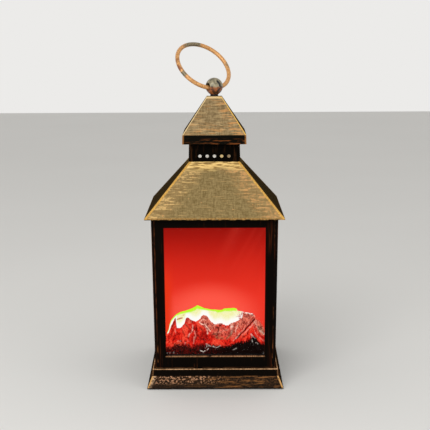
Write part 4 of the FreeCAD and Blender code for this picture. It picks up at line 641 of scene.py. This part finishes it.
# Split stone: cells across and deep, where their pattern starts, and the relief they give
FACETS_ACROSS, FACETS_DEEP, FACET_START = 8.0, 4.6, (2.3, 1.1, 0.37)
FACET_LEAN, FACET_STEP, GRIT_HEIGHT = 0.17, 0.09, 0.03
# How far the rocks' edge and the drawn marks stray, and how high or deep the marks are
EDGE_STRAY, MARK_STRAY_ACROSS, MARK_STRAY_UP = 0.016, 0.012, 0.020
PALE_HEIGHT, GLINT_HEIGHT, CRACK_DEPTH = 0.012, 0.01, 0.025
# The grid of points that the heap is drawn on, and the gaps where it steps back at the rocks
ACROSS_STEPS, FRONT_STEPS, BACK_STEPS = 300, 84, 34
STEP_GAP, BACK_GAP = 0.0005, 0.006

# The upper edges of the lit ridge and of the rocks before it, as points across and up
CREST_SHARES = [
    (-1.00, 0.36), (-0.967, 0.454), (-0.95, 0.583), (-0.916, 0.705), (-0.859, 0.796), (-0.803, 0.872),
    (-0.724, 0.925), (-0.61, 0.963), (-0.497, 1.016), (-0.406, 1.077), (-0.378, 1.112), (-0.316, 1.085),
    (-0.225, 1.032), (-0.123, 1.001), (0.0, 0.988), (0.10, 0.978), (0.14, 0.982), (0.183, 1.016),
    (0.274, 1.027), (0.387, 1.032), (0.449, 1.016), (0.462, 0.955), (0.55, 0.94), (0.614, 0.912),
    (0.67, 0.905), (0.727, 0.885), (0.772, 0.875), (0.80, 0.838), (0.84, 0.78), (0.90, 0.68),
    (0.954, 0.59), (1.0, 0.50)]
ROCK_SHARES = [
    (-1.00, 0.30), (-0.961, 0.34), (-0.90, 0.55), (-0.811, 0.785), (-0.789, 0.50), (-0.763, 0.488),
    (-0.723, 0.482), (-0.69, 0.515), (-0.633, 0.60), (-0.615, 0.70), (-0.585, 0.77), (-0.54, 0.762),
    (-0.497, 0.705), (-0.469, 0.69), (-0.406, 0.659), (-0.361, 0.682), (-0.304, 0.735), (-0.288, 0.796),
    (-0.236, 0.845), (-0.157, 0.796), (-0.123, 0.72), (-0.089, 0.659), (-0.03, 0.588), (0.0, 0.576),
    (0.047, 0.598), (0.127, 0.614), (0.161, 0.583), (0.228, 0.545), (0.274, 0.56), (0.33, 0.614),
    (0.41, 0.644), (0.478, 0.69), (0.534, 0.728), (0.557, 0.79), (0.562, 0.86), (0.57, 0.905),
    (0.614, 0.885), (0.67, 0.88), (0.727, 0.862), (0.772, 0.852), (0.80, 0.82), (0.84, 0.776),
    (0.90, 0.678), (0.954, 0.588), (1.0, 0.50)]
# How far the green rim reaches down from the ridge's edge, and where the soot begins
GREEN_SHARES = [
    (-1.0, 0.03), (-0.86, 0.05), (-0.80, 0.053), (-0.72, 0.068), (-0.61, 0.076), (-0.50, 0.106),
    (-0.41, 0.12), (-0.32, 0.106), (-0.225, 0.06), (-0.12, 0.046), (0.0, 0.055), (0.05, 0.09),
    (0.14, 0.068), (0.22, 0.09), (0.33, 0.097), (0.44, 0.084), (0.452, 0.0), (1.0, 0.0)]
SOOT_SHARES = [
    (-1.0, 0.02), (-0.9, 0.02), (-0.75, 0.12), (-0.62, 0.09), (-0.5, 0.03), (-0.4, 0.05), (-0.3, 0.09),
    (-0.15, 0.08), (0.2, 0.04), (0.3, 0.05), (0.42, 0.13), (0.57, 0.15), (0.68, 0.18), (0.72, 0.27),
    (0.78, 0.31), (0.83, 0.26), (0.87, 0.18), (0.93, 0.11), (1.0, 0.08)]
# Marks drawn over the rocks: a run of points, its half width and its strength
MARK_SHARES = {
    "pale": [
        ([(-0.463, 0.56), (-0.469, 0.40), (-0.519, 0.31), (-0.542, 0.25)], 0.022, 0.6),
        ([(-0.418, 0.40), (-0.406, 0.28), (-0.44, 0.07)], 0.018, 0.3),
        ([(-0.18, 0.49), (-0.146, 0.37), (-0.157, 0.31)], 0.020, 0.6),
        ([(-0.316, 0.644), (-0.27, 0.583), (-0.219, 0.583)], 0.024, 0.9),
        ([(-0.215, 0.585), (-0.168, 0.50), (-0.14, 0.42), (-0.11, 0.40)], 0.030, 1.0),
        ([(-0.81, 0.45), (-0.80, 0.36)], 0.018, 0.35),
        ([(0.325, 0.58), (0.335, 0.51)], 0.045, 1.0),
        ([(0.319, 0.49), (0.342, 0.40), (0.33, 0.33)], 0.020, 0.5),
        ([(0.466, 0.583), (0.433, 0.46), (0.415, 0.385)], 0.018, 0.7),
        ([(0.70, 0.66), (0.365, 0.127)], 0.012, 0.4),
        ([(0.829, 0.68), (0.705, 0.50), (0.546, 0.279)], 0.016, 0.5),
        ([(0.75, 0.58), (0.84, 0.28), (0.98, 0.13)], 0.014, 0.3),
        ([(0.91, 0.42), (0.99, 0.31)], 0.026, 0.5),
        ([(0.80, 0.64), (0.88, 0.46)], 0.014, 0.35),
        ([(0.06, 0.36), (0.20, 0.42), (0.30, 0.45)], 0.014, 0.35),
        ([(-0.30, 0.66), (-0.26, 0.72), (-0.20, 0.70)], 0.016, 0.45),
        ([(-0.02, 0.56), (0.06, 0.575), (0.12, 0.59)], 0.016, 0.5),
        ([(0.565, 0.885), (0.67, 0.87), (0.727, 0.85), (0.80, 0.80)], 0.018, 1.0)],
    "crack": [
        ([(0.80, 0.73), (0.43, 0.203)], 0.022, 1.0),
        ([(-0.712, 0.142), (-0.588, 0.135)], 0.022, 0.9),
        ([(-0.60, 0.07), (-0.53, 0.04)], 0.022, 0.8),
        ([(-0.80, 0.75), (-0.785, 0.60), (-0.77, 0.48)], 0.018, 0.6),
        ([(-0.385, 0.50), (-0.37, 0.36), (-0.395, 0.20)], 0.030, 0.6),
        ([(-0.31, 0.50), (-0.25, 0.42), (-0.27, 0.27)], 0.030, 0.6),
        ([(-0.35, 0.30), (-0.30, 0.20), (-0.20, 0.17)], 0.030, 0.6),
        ([(-0.043, 0.49), (0.06, 0.52), (0.07, 0.40)], 0.022, 0.85),
        ([(0.15, 0.49), (0.20, 0.44), (0.24, 0.43)], 0.022, 0.7),
        ([(-0.61, 0.60), (-0.54, 0.50), (-0.50, 0.42)], 0.026, 0.6),
        ([(-0.86, 0.45), (-0.88, 0.25)], 0.022, 0.4),
        ([(0.40, 0.60), (0.38, 0.48)], 0.022, 0.5),
        ([(-0.66, 0.42), (-0.62, 0.28)], 0.022, 0.5),
        ([(0.52, 0.20), (0.64, 0.30), (0.68, 0.42)], 0.018, 0.5),
        ([(0.86, 0.52), (0.92, 0.30), (0.97, 0.22)], 0.018, 0.5),
        ([(-0.12, 0.30), (0.02, 0.33), (0.10, 0.28)], 0.022, 0.5),
        ([(0.62, 0.80), (0.70, 0.74)], 0.016, 0.6),
        ([(0.56, 0.66), (0.64, 0.60)], 0.016, 0.5),
        ([(0.20, 0.30), (0.30, 0.36)], 0.016, 0.5)],
    "ash": [
        ([(0.353, 0.40), (0.308, 0.294), (0.229, 0.188)], 0.036, 0.75),
        ([(0.03, 0.23), (0.14, 0.20)], 0.06, 0.6),
        ([(0.90, 0.50), (0.98, 0.34)], 0.06, 0.6),
        ([(-0.02, 0.33), (0.10, 0.34)], 0.05, 0.35)],
    "mauve": [
        ([(-0.24, 0.77), (-0.17, 0.60), (-0.07, 0.52)], 0.15, 1.0),
        ([(0.45, 0.56), (0.66, 0.76)], 0.22, 0.9),
        ([(0.05, 0.40), (0.35, 0.34)], 0.20, 0.65),
        ([(0.84, 0.62), (0.97, 0.36)], 0.12, 0.9),
        ([(-0.56, 0.74), (-0.52, 0.66)], 0.08, 0.5)],
    # Painted glints: pale marks on the soot where light catches glossy facets, raised a little
    "glint": [
        ([(-0.916, -0.17), (-0.83, -0.17)], 0.018, 0.9),
        ([(-0.293, -0.12), (-0.25, -0.15), (-0.20, -0.135)], 0.013, 0.95),
        ([(-0.19, 0.05), (-0.10, 0.0), (-0.03, -0.01)], 0.011, 0.8),
        ([(-0.20, -0.06), (-0.145, 0.0)], 0.011, 0.8),
        ([(-0.16, -0.10), (-0.14, -0.07)], 0.013, 0.9),
        ([(-0.066, 0.0), (0.03, -0.05), (0.07, -0.02), (0.11, 0.01)], 0.010, 0.8),
        ([(0.36, -0.10), (0.42, -0.07)], 0.018, 0.4),
        ([(0.72, 0.33), (0.745, 0.27), (0.735, 0.22)], 0.012, 0.8),
        ([(0.735, 0.15), (0.745, 0.09)], 0.011, 0.8),
        ([(0.76, 0.26), (0.80, 0.19)], 0.011, 0.75),
        ([(0.815, 0.09), (0.85, 0.05)], 0.011, 0.75),
        ([(0.715, 0.035), (0.72, 0.04)], 0.011, 0.6),
        ([(0.77, 0.04), (0.775, 0.045)], 0.011, 0.6),
        ([(0.87, -0.18), (0.97, -0.23)], 0.019, 0.6),
        ([(-0.30, -0.19), (-0.29, -0.19)], 0.013, 0.7),
        ([(-0.16, -0.18), (-0.15, -0.18)], 0.013, 0.6),
        ([(-0.76, 0.13), (-0.70, 0.155)], 0.011, 0.4),
        ([(-0.64, 0.10), (-0.60, 0.09)], 0.010, 0.4),
        ([(-0.56, 0.145), (-0.53, 0.13)], 0.010, 0.4)],
    "ember_dash": [
        ([(-0.786, 0.72), (-0.72, 0.74), (-0.678, 0.758)], 0.020, 0.9),
        ([(-0.66, 0.834), (-0.64, 0.836)], 0.018, 0.6),
        ([(0.43, 0.79), (0.53, 0.80)], 0.018, 0.5)],
}


def smooth(value, low, high):
    share = np.clip((value - low) / (high - low), 0.0, 1.0)
    return share * share * (3 - 2 * share)


def outline(points, across):
    return np.interp(across, [point[0] for point in points], [point[1] for point in points])


def near(points, width, across, up):
    """1 along a run of straight lines, fading to 0 at its half width."""
    gap = np.full(across.shape, np.inf)
    for (u0, v0), (u1, v1) in zip(points, points[1:]):
        run_u, run_v = u1 - u0, v1 - v0
        share = ((across - u0) * run_u + (up - v0) * run_v) / (run_u ** 2 + run_v ** 2)
        share = np.clip(share, 0.0, 1.0)
        gap = np.minimum(gap, np.hypot(across - u0 - share * run_u, up - v0 - share * run_v))
    return 1 - smooth(gap, 0.35 * width, width)


def rough_field(across, depth, scale_u, scale_d, seed):
    """Even noise from -1 to 1 at each point."""
    points = zip(across.flat, depth.flat)
    flat = [noise.noise(Vector((u * scale_u, d * scale_d, seed))) for u, d in points]
    return np.array(flat).reshape(across.shape)


def facets(across, depth):
    """Split stone: each cell is a tilted plane with a tone of its own."""
    start_u, start_d, level = FACET_START
    lean, tone = np.zeros(across.shape), np.zeros(across.shape)
    for index in np.ndindex(across.shape):
        u, d = across[index] * FACETS_ACROSS + start_u, depth[index] * FACETS_DEEP + start_d
        spot = Vector((u, d, level))
        middle = noise.voronoi(spot)[1][0]
        tilt = noise.cell_vector(middle * 37.0)
        lean[index] = (spot.x - middle.x) * (tilt.x - 0.5) + (spot.y - middle.y) * (tilt.y - 0.5)
        tone[index] = tilt.z
    return lean, tone


def seen_rise(depth):
    return SEEN_TILT * (depth - SEEN_DEPTH_SHARE)


def front_height(run, rock, lean, tone, grit):
    """The rocks from the foot to their top, with the relief of split stone between."""
    apron = 0.05 + 0.08 * smooth(run, 0.0, 0.30)
    climb = 0.55 * smooth(run, 0.10, 1.0) + 0.45 * np.clip((run - 0.1) / 0.9, 0.0, 1.0)
    relief = smooth(run, 0.02, 0.25) * (1 - smooth(run, 0.85, 1.0))
    front = apron + (rock - apron) * climb
    front += relief * (FACET_LEAN * lean + FACET_STEP * (tone - 0.5))
    return front + relief * GRIT_HEIGHT * grit


def back_height(depth, rock, crest, grit):
    """The step behind the rocks, the lit wall and its fall to the back."""
    fall = RIDGE_FRONT_FALL * np.maximum(0.0, CREST_DEPTH_SHARE - depth)
    fall_back = RIDGE_BACK_FALL * np.maximum(0.0, depth - CREST_DEPTH_SHARE)
    wall = np.maximum(crest - fall - fall_back, rock - ROCK_BACK_FALL * (depth - ROCK_DEPTH_SHARE))
    step = smooth(depth, ROCK_DEPTH_SHARE, ROCK_DEPTH_SHARE + 0.03)
    return rock + (wall - rock) * step + 0.008 * step * grit


def drawn_marks(across, up):
    """The strength of each kind of mark at each point."""
    fields = {}
    for kind, marks in MARK_SHARES.items():
        fields[kind] = np.zeros(across.shape)
        for points, width, strength in marks:
            fields[kind] = np.maximum(fields[kind], strength * near(points, width, across, up))
    return fields


def heap_surface(across, depth):
    """Height shares of the heap, and the fields that its finish reads."""
    ragged = EDGE_STRAY * rough_field(across, 0 * depth, 46, 1, 6.0)
    rock_line = outline(ROCK_SHARES, across) + ragged
    crest_line = np.maximum(outline(CREST_SHARES, across), rock_line + 0.008)
    rock = rock_line - seen_rise(ROCK_DEPTH_SHARE) + SEEN_LIFT
    crest = crest_line - seen_rise(CREST_DEPTH_SHARE) + SEEN_LIFT
    lean, tone = facets(across, depth)
    run = np.minimum(1.0, depth / ROCK_DEPTH_SHARE)
    front = front_height(run, rock, lean, tone, rough_field(across, depth, 42, 34, 4.0))
    back = back_height(depth, rock, crest, rough_field(across, depth, 22, 14, 8.0))
    on_front = depth <= ROCK_DEPTH_SHARE
    height = np.where(on_front, front, back)
    seen = height + seen_rise(depth) - SEEN_LIFT
    wander_u = across + MARK_STRAY_ACROSS * rough_field(across, depth, 22, 14, 1.0)
    wander_v = seen + MARK_STRAY_UP * rough_field(across, depth, 26, 18, 2.0)
    fields = drawn_marks(wander_u, wander_v)
    marked = PALE_HEIGHT * fields["pale"] - CRACK_DEPTH * fields["crack"]
    height += np.where(on_front, marked + GLINT_HEIGHT * fields["glint"], 0.0)
    green_reach = outline(GREEN_SHARES, across)
    green = 1 - smooth(crest_line - seen, 0.62 * green_reach, 1.15 * green_reach + 0.001)
    fields["lit"] = np.where(on_front, 0.0, 1.0)
    fields["green"] = np.where(green_reach > 0.001, green, 0.0)
    fields["low"] = 1 - smooth(seen - rock_line, 0.05, 0.24)
    soot_line = outline(SOOT_SHARES, across)
    reach = 0.07 + 0.09 * smooth(-across, -0.3, 0.4)
    fields["soot"] = 1 - smooth(wander_v, soot_line - 0.08 - reach, soot_line + reach)
    fields["tone"] = tone
    fields["seen"] = seen
    return np.clip(height, 0.02, 1.0), fields


def ember_heap():
    """The heap's upper surface as a grid, with a skirt and a closed underside."""
    low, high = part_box("ember_bed")
    front_depths = np.linspace(0, ROCK_DEPTH_SHARE, FRONT_STEPS + 1)
    back_depths = np.linspace(ROCK_DEPTH_SHARE + BACK_GAP, 1, BACK_STEPS)
    depths = np.concatenate([front_depths, [ROCK_DEPTH_SHARE + STEP_GAP], back_depths])
    across, depth = np.meshgrid(np.linspace(-1, 1, ACROSS_STEPS + 1), depths)
    height, fields = heap_surface(across, depth)
    x = across * high.x
    y = low.y + depth * (high.y - low.y)
    z = low.z + height * (high.z - low.z)
    verts = list(zip(x.flat, y.flat, z.flat))
    columns = ACROSS_STEPS + 1
    faces = []
    for row in range(len(depths) - 1):
        for start in range(row * columns, row * columns + ACROSS_STEPS):
            faces.append((start, start + 1, start + columns + 1, start + columns))
    top_count = len(verts)
    rim = [*range(columns), *range(2 * columns - 1, top_count, columns),
           *range(top_count - 2, top_count - columns - 1, -1), *range(top_count - 2 * columns, 0, -columns)]
    verts += [(verts[index][0], verts[index][1], low.z) for index in rim]
    count = len(rim)
    for step in range(count):
        after = (step + 1) % count
        faces.append((rim[after], rim[step], top_count + step, top_count + after))
    faces.append(tuple(range(top_count, top_count + count)))
    mesh = bpy.data.meshes.new("ember_heap")
    mesh.from_pydata(verts, [], faces)
    for name, values in fields.items():
        skirt = np.full(count, 1.0 if name == "soot" else 0.0)
        field = mesh.attributes.new(name, "FLOAT", "POINT")
        field.data.foreach_set("value", np.append(values.ravel(), skirt))
    return mesh


def ember_finish():
    """Red resin whose glow is painted light from the lamps behind it: white and green glow over the ridge,
    pale veins of light over the rocks, soot along the foot.
    """
    f = Finish("ember_resin", gloss=0.04, glow_strength=1.0, rough=0.5)
    fine = f.grain((1000, 500, 900), detail=4, rough=0.75)
    crumbs = f.grain((560, 260, 500), detail=4, rough=0.75, shift=6.0, bend=0.8)
    folds = f.grain((170, 90, 120), detail=4, rough=0.6, shift=3.0, bend=1.6)
    grains = f.math("ADD", f.part(crumbs, 0.7), f.part(fine, 0.5))
    texture = f.math("ADD", f.part(folds, 1.3, -0.65), f.part(crumbs, 0.8, -0.4))
    tone = f.math("ADD", f.part(f.field("tone"), 0.5, 0.25), texture)
    red = f.vary(tone, 0.12, 0.48, paint(144, 10, 6), paint(228, 36, 23))
    red = f.over(red, paint(252, 86, 60), f.rise(tone, 0.47, 0.86), 0.9)
    red = f.over(red, paint(84, 6, 4), f.rise(crumbs, 0.45, 0.37), 0.75)
    high_up = f.rise(f.field("seen"), 0.15, 0.45)
    red = f.over(red, paint(252, 132, 102), f.rise(crumbs, 0.57, 0.66), high_up, 0.75)
    mauve = f.vary(grains, 0.50, 0.68, paint(112, 28, 24), paint(240, 136, 112))
    red = f.over(red, mauve, f.field("mauve"), 0.85)
    ash = f.vary(crumbs, 0.4, 0.6, paint(62, 36, 28), paint(164, 118, 84))
    red = f.over(red, ash, f.field("ash"))
    red = f.over(red, paint(56, 4, 4), f.field("crack"), f.rise(crumbs, 0.28, 0.46))
    pale = f.vary(fine, 0.35, 0.6, paint(246, 140, 110), paint(255, 238, 218))
    red = f.over(red, pale, f.field("pale"), f.rise(crumbs, 0.36, 0.54))
    soot = f.rise(f.math("ADD", f.field("soot"), f.part(grains, 2.4, -1.44)), 0.36, 0.62)
    left = f.rise(f.x, 12 * MM, -18 * MM)
    soot_colour = f.over(paint(11, 3, 2), paint(90, 14, 9), left, f.rise(crumbs, 0.44, 0.62))
    ember = f.mix(soot, red, soot_colour)
    # Painted glints on the soot
    ember = f.over(ember, paint(214, 202, 192), f.field("glint"), f.rise(fine, 0.38, 0.52))
    yellow = f.vary(fine, 0.35, 0.65, paint(240, 240, 160), paint(252, 250, 206))
    ridge_glow = f.mix(f.field("low"), yellow, paint(255, 255, 250))
    green = f.vary(fine, 0.3, 0.7, paint(176, 252, 28), paint(206, 255, 64))
    ridge_glow = f.mix(f.field("green"), ridge_glow, green)
    beads = f.times(f.rise(f.x, 19 * MM, 21 * MM), f.rise(crumbs, 0.52, 0.42))
    ridge_glow = f.mix(beads, ridge_glow, paint(196, 74, 60))
    ridge_glow = f.mix(f.field("ember_dash"), ridge_glow, paint(190, 60, 60))
    # The glow is painted light standing in for the lamps shining through the resin
    f.set(glow=f.mix(f.field("lit"), ember, ridge_glow), colour=f.mix(soot, paint(40, 4, 3), paint(6, 4, 3)))
    return f.bump(f.math("ADD", fine, f.times(crumbs, 0.8)), 0.25 * MM)


embers = add_mesh("embers", ember_heap(), "lantern", ember_finish())
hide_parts("ember_bed")

# Floor, light and camera
FLOOR_HALF = 3.0
ROOM_LIGHT = 0.72


def floor():
    corners = [(-FLOOR_HALF, -FLOOR_HALF, 0), (FLOOR_HALF, -FLOOR_HALF, 0),
               (FLOOR_HALF, FLOOR_HALF, 0), (-FLOOR_HALF, FLOOR_HALF, 0)]
    mesh = bpy.data.meshes.new("floor")
    mesh.from_pydata(corners, [], [(0, 1, 2, 3)])
    piece = bpy.data.objects.new("floor", mesh)
    bpy.context.scene.collection.objects.link(piece)
    f = Finish("pale_floor", gloss=0.1, rough=0.8)
    f.set(colour=f.mix(f.even(3, detail=1), paint(226, 225, 222), paint(230, 229, 226)))
    mesh.materials.append(f.material)


def lamp(name, place, target, width, watts):
    data = bpy.data.lights.new(name, "AREA")
    data.size = width
    data.energy = watts
    item = bpy.data.objects.new(name, data)
    item.location = place
    item.rotation_euler = (Vector(target) - Vector(place)).to_track_quat("-Z", "Y").to_euler()
    bpy.context.scene.collection.objects.link(item)


def studio():
    """An even pale room, a little brighter where it is looked at than where it lights."""
    world = bpy.data.worlds.new("studio")
    world.use_nodes = True
    tree = world.node_tree
    room = tree.nodes["Background"]
    room.inputs["Color"].default_value = paint(240, 239, 237)
    room.inputs["Strength"].default_value = ROOM_LIGHT
    backdrop = tree.nodes.new("ShaderNodeBackground")
    backdrop.inputs["Color"].default_value = paint(236, 235, 233)
    rays = tree.nodes.new("ShaderNodeLightPath")
    seen = rays.outputs["Is Camera Ray"]
    for word in ("Is Glossy Ray", "Is Transmission Ray"):
        either = tree.nodes.new("ShaderNodeMath")
        either.operation = "MAXIMUM"
        tree.links.new(seen, either.inputs[0])
        tree.links.new(rays.outputs[word], either.inputs[1])
        seen = either.outputs[0]
    blend = tree.nodes.new("ShaderNodeMixShader")
    tree.links.new(seen, blend.inputs[0])
    tree.links.new(room.outputs[0], blend.inputs[1])
    tree.links.new(backdrop.outputs[0], blend.inputs[2])
    tree.links.new(blend.outputs[0], tree.nodes["World Output"].inputs["Surface"])
    bpy.context.scene.world = world


floor()
lamp("key", place=(-0.45, -1.05, 0.85), target=(0, 0, 0.14), width=0.9, watts=9.0)
lamp("fill", place=(0.9, -0.6, 0.5), target=(0, 0, 0.12), width=0.8, watts=1.5)
studio()

# The photograph's camera: how far in front, how high and how far aside it stood, and
# its pitch, yaw and roll in degrees
CAMERA_FRONT, CAMERA_HIGH, CAMERA_ASIDE = 813.87 * MM, 290.78 * MM, 3.3 * MM
PITCH, YAW, ROLL = math.radians(10.56), math.radians(-0.22), math.radians(-0.27)
FOCAL_PIXELS, PHOTO_PIXELS, SENSOR_WIDTH = 945.57, 430, 36.0
ahead = Vector((math.sin(YAW) * math.cos(PITCH), math.cos(YAW) * math.cos(PITCH), -math.sin(PITCH)))
level_right = Vector((math.cos(YAW), -math.sin(YAW), 0))
level_up = level_right.cross(ahead)
right = math.cos(ROLL) * level_right + math.sin(ROLL) * level_up
up = -math.sin(ROLL) * level_right + math.cos(ROLL) * level_up
camera_data = bpy.data.cameras.new("camera")
camera_data.sensor_width = SENSOR_WIDTH
camera_data.lens = FOCAL_PIXELS / PHOTO_PIXELS * SENSOR_WIDTH
camera = bpy.data.objects.new("camera", camera_data)
turned = Matrix((right, up, -ahead)).transposed().to_4x4()
camera.matrix_world = Matrix.Translation((CAMERA_ASIDE, -CAMERA_FRONT, CAMERA_HIGH)) @ turned
bpy.context.scene.collection.objects.link(camera)
bpy.context.scene.camera = camera
bpy.context.scene.view_settings.view_transform = "Standard"
